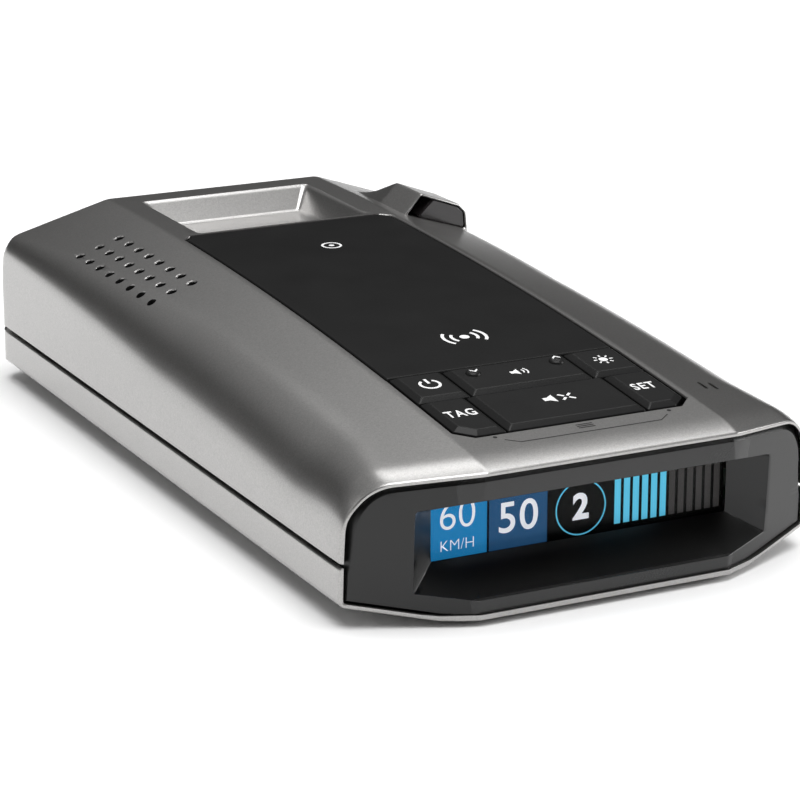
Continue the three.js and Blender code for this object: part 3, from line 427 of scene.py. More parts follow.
# A moulded plastic: fine texture, faint dust and handling marks.
def plasticFinish(name, colour, rough, texture, depth, spread=0.06, coat=0.0, shine=0.5):
    finish = Finish(name, Coat_Weight=coat, Coat_Roughness=0.04, Specular_IOR_Level=shine)
    grain = finish.noise(texture, 2.0)
    wear = finish.noise(140.0, 4.0)
    lighter = tuple(min(1.0, part * 1.5 + 0.002) for part in colour[:3]) + (1,)
    finish.put("Base Color", finish.blend(wear * 0.7 + grain * 0.3, colour, lighter))
    finish.put("Roughness", rough + (wear - 0.5) * spread + (grain - 0.5) * spread)
    finish.bump(grain, depth, 0.5)
    return finish.material


# The display's frame: satin on its face and matt inside its funnel, where its colour is made blacker as
# painted shade.
def bezelFinish():
    finish = Finish("glossBezel", Specular_IOR_Level=0.5)
    grain = finish.noise(2400.0, 2.0)
    wear = finish.noise(140.0, 4.0)
    depth = finish.node("ShaderNodeSeparateXYZ", inputs={0: finish.place}, output="Y")
    inside = depth > (2.2 - length / 2) * mm
    # painted shade: beyond 2.2 mm in from the front the colour drops to near black, standing in for the shade
    # inside the funnel
    finish.put("Base Color", finish.blend(inside, grey(0.016), grey(0.001)))
    finish.put("Roughness", 0.24 + (wear - 0.5) * 0.06 + inside * 0.06)
    finish.bump(grain, 0.000008, 0.5)
    return finish.material


def metalFinish(name, colour, rough, stretch):
    finish = Finish(name, Metallic=1.0)
    brush = finish.noise(900.0, 3.0, stretch)
    stain = finish.noise(160.0, 3.0)
    darker = tuple(part * 0.7 for part in colour[:3]) + (1,)
    finish.put("Base Color", finish.blend(brush * 0.5 + stain * 0.5, darker, colour))
    finish.put("Roughness", rough + (brush - 0.5) * 0.25)
    finish.bump(brush, 0.00002, 0.4)
    return finish.material


# Green board: solder mask over a grid of lighter tracks.
def boardFinish():
    finish = Finish("solderMask", Specular_IOR_Level=0.5)
    tracks = finish.node("ShaderNodeTexBrick", {"offset": 0.35, "squash": 0.6}, {
        "Vector": finish.place, "Scale": 210.0, "Mortar Size": 0.012}, output="Fac")
    mask = finish.noise(300.0, 2.0)
    green = finish.blend(mask, (0.008, 0.055, 0.02, 1), (0.014, 0.085, 0.032, 1))
    finish.put("Base Color", finish.blend(tracks, green, (0.03, 0.16, 0.06, 1)))
    finish.put("Roughness", 0.35 + mask * 0.15)
    finish.bump(tracks, 0.00003, 0.5)
    return finish.material


def clothFinish():
    finish = Finish("dustCloth", Sheen_Weight=0.05, Specular_IOR_Level=0.2)
    across = finish.node("ShaderNodeTexWave", {"wave_type": "BANDS", "bands_direction": "X"},
                         {"Vector": finish.place, "Scale": 1100.0}, output="Fac")
    along = finish.node("ShaderNodeTexWave", {"wave_type": "BANDS", "bands_direction": "Y"},
                        {"Vector": finish.place, "Scale": 1100.0}, output="Fac")
    weave = across * along
    finish.put("Base Color", finish.blend(weave, grey(0.001), grey(0.008)))
    finish.put("Roughness", 0.75 + weave * 0.2)
    finish.bump(weave, 0.00005, 0.8)
    return finish.material


# A window that darkens what lies behind it; the alpha is the share that it hides.
def windowFinish(name, colour, alpha):
    finish = Finish(name, Alpha=alpha, Specular_IOR_Level=0.2)
    smudge = finish.noise(130.0, 4.0)
    finish.put("Base Color", finish.blend(smudge, colour, tuple(part * 1.3 for part in colour[:3]) + (1,)))
    finish.put("Roughness", 0.05 + smudge * 0.05)
    return finish.material


# Lit or printed marks: a flat ink with the slight unevenness of pad printing or of the display's cells.
def inkFinish(name, colour, glow=0.0, lit=False):
    finish = Finish(name, Emission_Strength=glow, Specular_IOR_Level=0.1 if lit else 0.4)
    if lit:
        upright = finish.node("ShaderNodeMapping", inputs={
            "Vector": finish.place, "Rotation": (math.pi / 2, 0, 0)})
        gaps = finish.node("ShaderNodeTexBrick", {"offset": 0.0}, {
            "Vector": upright, "Scale": 5000.0, "Mortar Size": 0.03, "Brick Width": 1.0,
            "Row Height": 1.0}, output="Fac")
        texture = 1 - gaps * 0.3
    else:
        texture = finish.noise(2500.0, 2.0) * 0.4 + 0.6
    dim = tuple(part * 0.8 for part in colour[:3]) + (1,)
    tone = finish.blend(texture, dim, colour)
    finish.put("Base Color", tone)
    finish.put("Emission Color", tone)
    finish.put("Roughness", 0.4 + texture * 0.1)
    return finish.material


finishes = {
    "paint": paintFinish(),
    "panel": plasticFinish("satinBlack", grey(0.0075), 0.32, 3600.0, 0.000012, 0.05, 0.0, 0.1),
    "bezel": bezelFinish(),
    "key": plasticFinish("keyPlastic", grey(0.008), 0.3, 3000.0, 0.00001, 0.06, 0.0, 0.16),
    "bare": plasticFinish("bareMoulding", grey(0.004), 0.55, 2600.0, 0.00001, 0.06, 0.0, 0.2),
    "chip": plasticFinish("chipBlack", grey(0.012), 0.6, 3000.0, 0.00003),
    "socket": plasticFinish("socketBlack", grey(0.012), 0.45, 2500.0, 0.00002),
    "silicone": plasticFinish("keySilicone", grey(0.03), 0.8, 2400.0, 0.00003),
    "ceramic": plasticFinish("firedCeramic", (0.6, 0.54, 0.42, 1), 0.65, 2600.0, 0.00003),
    "film": plasticFinish("amberFilm", (0.42, 0.17, 0.03, 1), 0.3, 1800.0, 0.00001),
    "label": plasticFinish("labelFoil", grey(0.5), 0.35, 3200.0, 0.00001),
    "screen": plasticFinish("screenBlack", grey(0.0008), 0.3, 3000.0, 0.000002, 0.04, 0.0, 0.1),
    "board": boardFinish(),
    "cloth": clothFinish(),
    "zinc": metalFinish("castZinc", grey(0.55), 0.5, (1, 1, 1)),
    "tin": metalFinish("tinPlate", grey(0.68), 0.3, (1, 8, 1)),
    "nickel": metalFinish("nickelPlate", grey(0.6), 0.22, (1, 1, 4)),
    "blackSteel": metalFinish("blackSteel", grey(0.06), 0.42, (1, 1, 6)),
    "window": windowFinish("smokeWindow", grey(0.004), 0.1),
    "infrared": plasticFinish("infraredWindow", (0.012, 0.010, 0.0105, 1), 0.16, 1500.0, 0.000002, 0.04, 0.3),
    "white": inkFinish("whitePrint", grey(0.85)),
    "blackInk": inkFinish("blackPrint", grey(0.008)),
    "litWhite": inkFinish("litWhite", (0.92, 0.94, 1.0, 1), 0.55, True),
    "litBlue": inkFinish("litBlue", (0.012, 0.19, 0.44, 1), 0.75, True),
    "litDeep": inkFinish("litDeep", (0.02, 0.085, 0.2, 1), 0.6, True),
    "litCyan": inkFinish("litCyan", (0.10, 0.50, 0.72, 1), 0.8, True),
    "litGrey": inkFinish("litGrey", (0.06, 0.057, 0.056, 1), 0.5, True),
}
print("finishes made")

# ---- camera, floor and lights ----
view = {"azimuth": -26.717, "elevation": 17.033, "lens": 135, "spot": (-0.199627, -0.404208, 0.148078)}


def makeCamera():
    data = bpy.data.cameras.new("camera")
    data.lens = view["lens"]
    data.sensor_width = 36
    data.clip_start = 0.01
    camera = bpy.data.objects.new("camera", data)
    bpy.context.scene.collection.objects.link(camera)
    turn, rise = math.radians(view["azimuth"]), math.radians(view["elevation"])
    back = Vector((math.sin(turn) * math.cos(rise), -math.cos(turn) * math.cos(rise), math.sin(rise)))
    camera.location = view["spot"]
    camera.rotation_mode = "QUATERNION"
    camera.rotation_quaternion = (-back).to_track_quat("-Z", "Y")
    bpy.context.scene.camera = camera


studio = {
    "sky": [(0.0, 0.08), (0.2, 0.008), (0.32, 0.012), (0.42, 0.12), (0.56, 0.3), (1.0, 0.28)],
    "floor": grey(0.93), "floorSize": 6.0,
    "lights": [
        {"name": "leftPanel", "spot": (-1.2, 0.35, 0.5), "aim": (0, 0, 0.01),
         "size": (1.0, 0.5), "power": 1.0},
        {"name": "overhead", "spot": (-0.1, -0.3, 1.7), "aim": (0, 0, 0), "size": (1.5, 1.5), "power": 33},
        {"name": "rimStrip", "spot": (0.33, 0.6, 1.1), "aim": (0, -0.07, 0.02),
         "size": (1.0, 0.3), "power": 2.9},
        {"name": "rightFill", "spot": (0.9, -0.35, 0.3), "aim": (0, 0, 0.01),
         "size": (0.6, 0.5), "power": 5.5},
    ],
}


def makeStudio():
    world = bpy.data.worlds.new("studio")
    bpy.context.scene.world = world
    world.use_nodes = True
    tree = world.node_tree
    direction = tree.nodes.new("ShaderNodeTexCoord")
    split = tree.nodes.new("ShaderNodeSeparateXYZ")
    ramp = tree.nodes.new("ShaderNodeValToRGB")
    for _ in studio["sky"][2:]:
        ramp.color_ramp.elements.new(0.5)
    for element, (position, level) in zip(ramp.color_ramp.elements, studio["sky"]):
        element.position = position
        element.color = grey(level)
    tree.links.new(direction.outputs["Generated"], split.inputs[0])
    tree.links.new(split.outputs["Z"], ramp.inputs[0])
    tree.links.new(ramp.outputs[0], tree.nodes["Background"].inputs["Color"])
    for light in studio["lights"]:
        data = bpy.data.lights.new(light["name"], "AREA")
        data.shape = "RECTANGLE"
        data.size, data.size_y = light["size"]
        data.energy = light["power"]
        lamp = bpy.data.objects.new(light["name"], data)
        lamp.location = light["spot"]
        aim = Vector(light["aim"]) - Vector(light["spot"])
        lamp.rotation_mode = "QUATERNION"
        lamp.rotation_quaternion = aim.to_track_quat("-Z", "Y")
        bpy.context.scene.collection.objects.link(lamp)
    half = studio["floorSize"] / 2
    mesh = bpy.data.meshes.new("floor")
    corners = [(-half, -half, 0), (half, -half, 0), (half, half, 0), (-half, half, 0)]
    mesh.from_pydata(corners, [], [(0, 1, 2, 3)])
    floor = bpy.data.objects.new("floor", mesh)
    bpy.context.scene.collection.objects.link(floor)
    finish = Finish("paleFloor", Roughness=0.9, Specular_IOR_Level=0.1)
    finish.put("Base Color", studio["floor"])
    mesh.materials.append(finish.material)


makeCamera()
makeStudio()
bpy.context.scene.view_settings.view_transform = "Standard"
print("camera and studio made")

# ---- the deck that the keys stand on: it is tilted with the crown ----
well = {
    "half": 18.4, "front": 9.9, "frontRow": 12.8, "rearRow": 9.6, "gap": 0.3, "chamfer": 2.4,
    "frontSplit": 11.1, "rearSplit": 9.9, "proud": 0.45, "thick": 2.6, "bevel": 0.95, "bevelDrop": 0.6,
    "soft": 0.14,
}
wellRear = well["front"] + well["frontRow"] + well["rearRow"]
wellCentre = (well["front"] + wellRear) / 2
deckTilt = math.atan((crown(wellCentre + 0.01) - crown(wellCentre - 0.01)) / 0.02)
deckHalf = (wellRear - well["front"]) / 2 / math.cos(deckTilt)


def onDeck(x, v, n):
    y = wellCentre + v * math.cos(deckTilt) - n * math.sin(deckTilt)
    return (x, y, crown(wellCentre) + v * math.sin(deckTilt) + n * math.cos(deckTilt))


# Rounds each corner of a plan outline and lets it shrink; all outlines made alike can be lofted.
def roundOutline(outline, inset, radius, steps=4):
    points = []
    count = len(outline)
    centred = np.asarray(outline, float)
    for k in range(count):
        before, corner, after = centred[k - 1], centred[k], centred[(k + 1) % count]
        toBefore = (before - corner) / np.linalg.norm(before - corner)
        toAfter = (after - corner) / np.linalg.norm(after - corner)
        sine = abs(toBefore[0] * toAfter[1] - toBefore[1] * toAfter[0])
        moved = corner + (toBefore + toAfter) * inset / sine
        rows = arc((moved + toBefore * 3)[None], moved[None], (moved + toAfter * 3)[None], radius, steps)[0]
        points.extend(rows)
    return points


recess = {"half": 15.3, "rearSetback": 13.2, "depth": 3.9, "run": 2.8, "frontRun": 0.5}
panel = {"rearSetback": 38.4, "chamfer": 1.7, "thick": 1.2, "gap": 0.3, "edge": 0.35}
panelFront = wellRear + well["gap"]
panelRear = length - panel["rearSetback"]
recessFront = panelRear + 1.1
recessRear = length - recess["rearSetback"]
recessFloor = crown((recessFront + recessRear) / 2) - recess["depth"]


def wellCutter():
    rings = []
    for n, grow in ((-10, 0.3), (-0.35, 0.3), (-0.12, 0.37), (0.0, 0.5), (0.12, 0.7), (4, 0.7)):
        half, front, rear = well["half"] + grow, -deckHalf - grow, deckHalf + 1
        chamfer = well["chamfer"]
        outline = [(-half, rear), (-half, front + chamfer), (-half + chamfer, front),
                   (half - chamfer, front), (half, front + chamfer), (half, rear)]
        rings.append([onDeck(x, v, n) for x, v in roundOutline(outline, 0, 0.3, 3)])
    return loft("wellCutter", rings)


def panelHalfAt(y, grow):
    rear = panelRear + grow
    return well["half"] + grow - max(0.0, panel["chamfer"] - (rear - y))


# Rings that follow the crown between two stations, with a rim profile of (rise, grow) pairs.
def crownRings(y0, y1, profile, steps=60):
    rings = []
    stations = list(np.linspace(y0, y1 - panel["chamfer"], steps)) + [y1 - panel["chamfer"] / 2, y1]
    for y in stations:
        right = [(panelHalfAt(y, grow), rise) for rise, grow in profile]
        ring = [(half, y, crown(y) + rise) for half, rise in right]
        ring += [(-half, y, crown(y) + rise) for half, rise in reversed(right)]
        rings.append(ring)
    return rings


def panelCutter():
    gap = panel["gap"]
    depth = -panel["thick"] - gap
    profile = [(depth, gap), (-0.3, gap), (-0.1, gap + 0.08), (0.03, gap + 0.25), (3, gap + 0.35)]
    return loft("panelCutter", crownRings(wellRear - 0.5, panelRear + gap, profile))


def recessCutter():
    rings = []
    depth, run = recess["depth"], recess["run"]
    top = recessFloor + depth
    levels = [(recessFloor, -0.5), (recessFloor + 0.12, -0.2), (recessFloor + 0.4, 0.0)]
    for z, grow in levels:
        share = (z - recessFloor) / depth
        rings.append((z, share, grow))
    rings.append((top - 0.5, 1 - 0.5 / depth, 0.0))
    rings.append((top - 0.22, 1 - 0.22 / depth, 0.05))
    rings.append((top, 1.0, 0.22))
    rings.append((top + 3, 1.0, 0.5))
    loops = []
    for z, share, grow in rings:
        half = recess["half"] - run * (1 - share) + grow
        front = recessFront + recess["frontRun"] * (1 - share) - grow
        rear = recessRear - run * (1 - share) + grow
        outline = [(-half, rear), (-half, front), (half, front), (half, rear)]
        loops.append([(x, y, z) for x, y in roundOutline(outline, 0, 0.5 + 0.4 * share, 4)])
    return loft("recessCutter", loops)


# ---- the laser hood ----
hood = {
    "left": bodyLaw["half"] - 15.1, "right": bodyLaw["half"] - 3.1, "height": 4.2, "flank": 3.2,
    "front": panelRear + 1.0, "ridge": 9.4, "tail": 12.0, "rim": 0.38, "soft": 0.45,
}


def hoodOutline(y, lift, inset):
    left, right = hood["left"] + inset, hood["right"] - inset
    ridgeLeft, ridgeRight = left + hood["flank"], right - 1.6
    rise = lift - inset
    corners = [
        (left, shoulder(left, y) - 0.05 + inset * 0.5), (ridgeLeft, shoulder(ridgeLeft, y) + rise),
        (ridgeRight, shoulder(ridgeRight, y) + rise * 0.93), (right - 0.35, shoulder(right, y) + rise * 0.72),
        (right, shoulder(right, y) - 0.4),
    ]
    top = []
    for k in range(1, len(corners) - 1):
        before, corner, after = (np.array([corners[k + step]], float) for step in (-1, 0, 1))
        top.extend(arc(before, corner, after, hood["soft"], 5)[0])
    foot = 3.0
    ends = [(right + 0.25, shoulder(right, y) - foot - 2), (left, shoulder(left, y) - foot)]
    return [(x, y, z) for x, z in [corners[0], *top, corners[-1], *ends]]


def hoodSolid():
    front, ridge = hood["front"], hood["front"] + hood["ridge"]
    rings = [hoodOutline(front, hood["height"], 0.16), hoodOutline(front + 0.06, hood["height"], 0.06),
             hoodOutline(front + 0.2, hood["height"], 0)]
    for share in np.linspace(0, 1, 8)[1:]:
        rings.append(hoodOutline(front + hood["ridge"] * share - 0.4 * share, hood["height"], 0))
    for share in np.linspace(0, 1, 14):
        y = ridge + 0.2 + (hood["tail"] - 0.2) * share
        bend = 0.06 * math.exp(-share * 18)
        rings.append(hoodOutline(y, hood["height"] * (1 - share) - bend - 0.5 * share, 0))
    return loft("hoodSolid", rings)


def mouthOutline(y, grow, shift=0.0):
    inset = hood["rim"] - grow
    left, right = hood["left"] + inset + max(0.0, -grow) + shift, hood["right"] - inset
    ridgeLeft = left + hood["flank"] * 0.85
    lift = hood["height"] - inset
    corners = [
        (left, shoulder(left, y) + inset - hood["rim"] - 0.1), (ridgeLeft, shoulder(ridgeLeft, y) + lift),
        (right - 1.3, shoulder(right - 1.3, y) + lift * 0.93),
        (right - 0.2, shoulder(right, y) + lift * 0.74),
        (right, shoulder(right, y) + inset - hood["rim"] - 0.1),
    ]
    points = []
    for k, corner in enumerate(corners):
        before, after = corners[k - 1], corners[(k + 1) % len(corners)]
        points.extend(arc(*(np.array([p], float) for p in (before, corner, after)), 0.35, 4)[0])
    return [(x, y, z) for x, z in points]


# ---- openings ----
speakerField = {"sideInset": 8.7, "panelSetback": 4.6, "rows": 3, "columns": 8, "rowPitch": 3.6,
                "columnPitch": 4.33, "radius": 0.8, "lip": 0.2}


def speakerCutters():
    x0 = speakerField["sideInset"] - bodyLaw["half"]
    y0 = panelRear - speakerField["panelSetback"]
    tilt = math.atan(between(y0, bodyLaw["slopes"]))
    base = shoulder(x0, y0)
    radius, lip = speakerField["radius"], speakerField["lip"]
    cutters = []
    for row in range(speakerField["rows"]):
        for column in range(speakerField["columns"]):
            u = (row - (speakerField["rows"] - 1) / 2) * speakerField["rowPitch"]
            v = (column - (speakerField["columns"] - 1) / 2) * speakerField["columnPitch"]
            rings = []
            x = x0 + u * math.cos(tilt)
            level = shoulder(x, y0 + v) - (base + u * math.sin(tilt))
            profile = ((-4, radius), (-lip, radius), (-lip * 0.3, radius + lip * 0.35), (0.0, radius + lip),
                       (2, radius + lip))
            for n, r in profile:
                n += level
                ring = []
                for t in np.linspace(0, 2 * math.pi, 20, endpoint=False):
                    a, b = u + r * math.cos(t), v + r * math.sin(t)
                    ring.append((x0 + a * math.cos(tilt) - n * math.sin(tilt), y0 + b,
                                 base + a * math.sin(tilt) + n * math.cos(tilt)))
                rings.append(ring)
            cutters.append(loft("hole", rings))
    return cutters


slits = {"sideInset": 12.2, "y": 16.9, "length": 2.6, "width": 0.62, "pitch": 1.8}


def slitCutters():
    cutters = []
    for side in (-1, 1):
        x = bodyLaw["half"] - slits["sideInset"] + side * slits["pitch"] / 2
        outline = [(x - slits["width"] / 2, slits["y"] + slits["length"] / 2),
                   (x - slits["width"] / 2, slits["y"] - slits["length"] / 2),
                   (x + slits["width"] / 2, slits["y"] - slits["length"] / 2),
                   (x + slits["width"] / 2, slits["y"] + slits["length"] / 2)]
        rounded = roundOutline(outline, 0, 0.28, 4)
        cutters.append(loft("slit", [[(px, py, z) for px, py in rounded] for z in (14, 40)]))
    return cutters


sockets = {"face": bodyLaw["half"] - 2.4, "floor": 8.3, "power": (46, 12.4, 5.1, 3.6),
           "phone": (63, 11.3, 3.05), "usb": (77, 10.05, 4.5, 2.05)}


def sideCutters():
    cutters = []
    for key in ("power", "usb"):
        y, z, halfY, halfZ = sockets[key]
        rings = []
        for x, grow in ((sockets["face"] - 2, 0), (bodyLaw["half"] - 0.5, 0), (bodyLaw["half"] - 0.1, 0.25),
                        (bodyLaw["half"] + 5, 0.4)):
            outline = [(y - halfY - grow, z + halfZ + grow), (y - halfY - grow, z - halfZ - grow),
                       (y + halfY + grow, z - halfZ - grow), (y + halfY + grow, z + halfZ + grow)]
            rings.append([(x, py, pz) for py, pz in roundOutline(outline, 0, 0.5, 4)])
        cutters.append(loft("sideCutter", rings))
    y, z, radius = sockets["phone"]
    rings = []
    for x, grow in ((sockets["face"] - 2, 0), (bodyLaw["half"] - 0.5, 0), (bodyLaw["half"] - 0.1, 0.25),
                    (bodyLaw["half"] + 5, 0.4)):
        rings.append([(x, y + (radius + grow) * math.cos(t), z + (radius + grow) * math.sin(t))
                      for t in np.linspace(0, 2 * math.pi, 36, endpoint=False)])
    cutters.append(loft("sideCutter", rings))
    return cutters


# ---- the shells ----
frontSteps = [0, 0.03, 0.08, 0.15, 0.25, 0.36, 0.45, 0.8, 1.2, 1.7, 2.3, 3.0, 3.8, 4.6, 5.6, 7]
rearSteps = [7, 5.6, 4.5, 3.7, 3.0, 2.4, 1.9, 1.45, 1.1, 0.8, 0.55, 0.35, 0.2, 0.1, 0.03, 0]
middleSteps = 44


def bodyStations():
    stations = [(a, 0) for a in frontSteps]
    for step in range(1, middleSteps):
        share = step / middleSteps
        stations.append((frontSteps[-1] * (1 - share) - rearSteps[0] * share, share))
    return stations + [(-a, 1) for a in rearSteps]


def capRings(ring, inset):
    rings = []
    hub = np.array([0, 0, 14.0])
    for share in (0.985, 0.96, 0.9, 0.8, 0.65, 0.45, 0.25, 0.08):
        points = hub + (ring - hub) * share
        points[:, 1] = rearLimit(points[:, 0], points[:, 2]) - inset
        rings.append(points)
    return rings


def wholeShell():
    wall, lip = bodyLaw["wall"], bodyLaw["lip"]
    outer = [bodyRing(a, b, 0) for a, b in bodyStations()]
    outer += capRings(outer[-1], 0)
    inner = []
    for a, b in [(0, 0), (bodyLaw["lipDepth"] - 0.05, 0)]:
        inner.append(bodyRing(a, b, lip, False))
    for a, b in [(bodyLaw["lipDepth"], 0), (7, 0)]:
        inner.append(bodyRing(a, b, wall, False))
    for step in range(1, 14):
        share = step / 14
        inner.append(bodyRing(7 * (1 - share) - wall * share, share, wall, False))
    inner.append(bodyRing(-wall, 1, wall, False))
    inner += capRings(inner[-1], wall)
    rings = outer + inner[::-1]
    count = pointCount
    last = len(outer) - 1
    faces = ringFaces(len(rings), count, True)
    del faces[last * count:(last + 1) * count]
    faces.append(tuple(last * count + k for k in range(count)))
    faces.append(tuple((last + 1) * count + k for k in range(count))[::-1])
    return faceOut(makeObject("shell", np.concatenate(rings), faces))


roadWindow = {"half": 24.0, "low": 10.6, "high": 18.6, "thick": 1.0, "rim": 1.2}


def upperShell():
    shell = wholeShell()
    gap = bodyLaw["partingGroove"] / 2
    carve(shell, box(-50, 50, -5, length + 5, -5, bodyLaw["parting"] + gap, 60))
    backing = loft("backing", crownRings(wellRear + 1, panelRear + 1.8,
                                         [(-3.0, 1.8), (-0.6, 1.8)], 30))
    carve(shell, backing, "UNION")
    tub = box(-recess["half"] - 1, recess["half"] + 1, recessFront - 1.5, recessRear + 1,
              recessFloor - 1.5, recessFloor + recess["depth"] - 1.2)
    carve(shell, tub, "UNION")
    roadFrame = box(-roadWindow["half"] - 1.5, roadWindow["half"] + 1.5, length - 2.5, length - 0.4,
                    roadWindow["low"] - 0.6, roadWindow["high"] + 1.5)
    carve(shell, roadFrame, "UNION")
    carve(shell, hoodSolid(), "UNION")
    pocket = loft("pocket", [mouthOutline(hood["front"] - 1, 0.14), mouthOutline(hood["front"] + 0.02, 0.12),
                             mouthOutline(hood["front"] + 0.2, 0), mouthOutline(hood["front"] + 7, 0)])
    window = box(-roadWindow["half"] - 0.3, roadWindow["half"] + 0.3, length - roadWindow["thick"] - 0.3,
                 length + 2, roadWindow["low"] - 0.3, roadWindow["high"] + 0.3)
    opening = box(-roadWindow["half"] + 1.2, roadWindow["half"] - 1.2, length - 5, length + 2,
                  roadWindow["low"] + 1.2, roadWindow["high"] - 1.2)
    cutters = [panelCutter(), wellCutter(), recessCutter(), pocket, window, opening]
    for cutter in cutters + speakerCutters() + slitCutters() + sideCutters():
        carve(shell, cutter)
    return shell


screws = {"inset": 8.0, "places": (36.0, length - 17), "counterbore": 2.9, "pilot": 1.4, "tube": 4.3,
          "seat": 3.2 * (bodyLaw["half"] - 8 - 20) / (bodyLaw["half"] - 20) + 2.3}


def screwPlaces():
    x = bodyLaw["half"] - screws["inset"]
    return [(name, side * x, y) for y, end in zip(screws["places"], ("front", "rear"))
            for side, name in ((-1, end + "_left"), (1, end + "_right"))]


label = {"half": 15.0, "length": 40.0, "centre": 70.0, "recess": 0.6}


def lowerShell():
    shell = wholeShell()
    gap = bodyLaw["partingGroove"] / 2
    carve(shell, box(-50, 50, -5, length + 5, bodyLaw["parting"] - gap, 50, 60))
    for _, x, y in screwPlaces():
        post = tube((screws["tube"], screws["tube"]), (2.7, 6.1), (x, y), 40)
        carve(shell, post, "UNION")
    for _, x, y in screwPlaces():
        bore = tube((3.4, 3.15, screws["counterbore"], screws["counterbore"]),
                    (-1, 0.95, 1.35, screws["seat"]), (x, y), 40)
        carve(shell, bore)
        carve(shell, tube((screws["pilot"], screws["pilot"]), (0, 20), (x, y), 24))
    front, rear = label["centre"] - label["length"] / 2 - 0.3, label["centre"] + label["length"] / 2 + 0.3
    half = label["half"] + 0.3
    outline = [(-half, rear), (-half, front), (half, front), (half, rear)]
    rounded = roundOutline(outline, 0, 1.0, 5)
    carve(shell, loft("labelCutter", [[(x, y, z) for x, y in rounded] for z in (-1, label["recess"])]))
    for cutter in sideCutters():
        carve(shell, cutter)
    return shell


upper = smooth(upperShell())
place(upper, "upperShell", "case", finishes["paint"], "case_paint", "upper_case")


# Paint covers only the outside and the recess; the walls of the holes and the inner skin are bare black.
def bareInside(shell):
    shell.data.materials.append(finishes["bare"])
    for polygon in shell.data.polygons:
        x, y, z = polygon.center.x / mm, polygon.center.y / mm + length / 2, polygon.center.z / mm
        tub = abs(x) < recess["half"] + 0.6 and recessFront - 0.6 < y < recessRear + 0.6
        tub = tub and z > recessFloor - 0.3
        inside = 8 < y < length - 8 and abs(x) < bodyLaw["half"] - 14 and z < shoulder(x, y) - 0.34
        sound = -34 < x < -22 and 84 < y < 119 and 15 < z < shoulder(x, y) - 0.3
        sound = sound and abs(polygon.normal.z) < 0.5
        if (inside or sound) and not tub:
            polygon.material_index = 1


bareInside(upper)
print("upper shell made", len(upper.data.polygons))
lower = smooth(lowerShell())
place(lower, "lowerShell", "case", finishes["paint"], "case_paint", "lower_case")
print("lower shell made", len(lower.data.polygons))


# ---- the black panel ----
def panelCover():
    thick, edge = panel["thick"], panel["edge"]
    rings = []
    stations = [(panelFront, 0.3), (panelFront + 0.04, 0.12), (panelFront + 0.15, 0.03),
                (panelFront + 0.35, 0.0)]
    stations += [(y, 0.0) for y in np.linspace(panelFront + 1.5, panelRear - 2, 60)]
    stations += [(panelRear - 1.7, 0.0), (panelRear - 0.4, 0.0), (panelRear - 0.15, 0.03),
                 (panelRear - 0.04, 0.12), (panelRear, 0.3)]
    for y, drop in stations:
        half = panelHalfAt(y, 0) - drop * 0.3
        top = crown(y) - drop
        right = [(half - 0.1, crown(y) - thick), (half, crown(y) - thick + 0.1), (half, top - edge)]
        for turn in np.linspace(0, 1, 5)[1:]:
            angle = turn * math.pi / 2
            right.append((half - edge * (1 - math.cos(angle)), top - edge * (1 - math.sin(angle))))
        right += [(half * share, top) for share in (0.85, 0.6, 0.3, 0.05)]
        ring = [(x, y, z) for x, z in right]
        rings.append(ring + [(-x, y, z) for x, y, z in reversed(ring)])
    return loft("panelCover", rings)


place(smooth(panelCover(), 40), "panelCover", "case", finishes["panel"], "satin_black", "top_panel")
print("panel made")

# ---- the bezel ----
bezel = {
    "gap": 0.2, "setback": 0.6, "bevel": 1.2, "openingHalf": 28.0, "top": 18.12, "topSide": 16.72,
    "bottom": 3.71, "bottomSide": 4.94, "screenHalf": 23.6, "screenTop": 16.4, "screenBottom": 7.6,
    "screenDepth": 8.8, "back": 8.6,
}


def bezelMarks(ring):
    half = pointCount // 2
    x, z = ring[:half + 1, 0], ring[:half + 1, 2]
    top = np.arange(half + 1) > half / 2
    knee = bodyLaw["facetHalf"]
    kneeLow = int(np.argmin(np.where(top, 99, np.abs(x - knee))))
    kneeHigh = int(np.argmin(np.where(top, np.abs(x - knee), 99)))
    sill = int(np.argmin(np.where(top, 99, np.abs(z - 3.4) + np.abs(x - x.max()))))
    corner = int(np.argmax(np.where(top, x + z * 1.15, -99)))
    return [0, kneeLow, sill, corner, kneeHigh, half]


# Six key points of an opening outline, from the middle of its bottom to the middle of its top.
def openingRing(ring, marks, keys, radius):
    half = pointCount // 2
    right = np.zeros((half + 1, 2))
    for (low, high), start, end in zip(zip(marks[:-1], marks[1:]), keys[:-1], keys[1:]):
        walk = np.linalg.norm(np.diff(ring[low:high + 1, [0, 2]], axis=0), axis=1)
        share = np.concatenate([[0], np.cumsum(walk)])
        share = (share / share[-1])[:, None]
        right[low:high + 1] = np.array(start) * (1 - share) + np.array(end) * share
    whole = np.concatenate([right, right[1:-1][::-1] * np.array([-1, 1])])
    for _ in range(radius):
        whole = whole * 0.5 + (np.roll(whole, 1, axis=0) + np.roll(whole, -1, axis=0)) * 0.25
    return whole


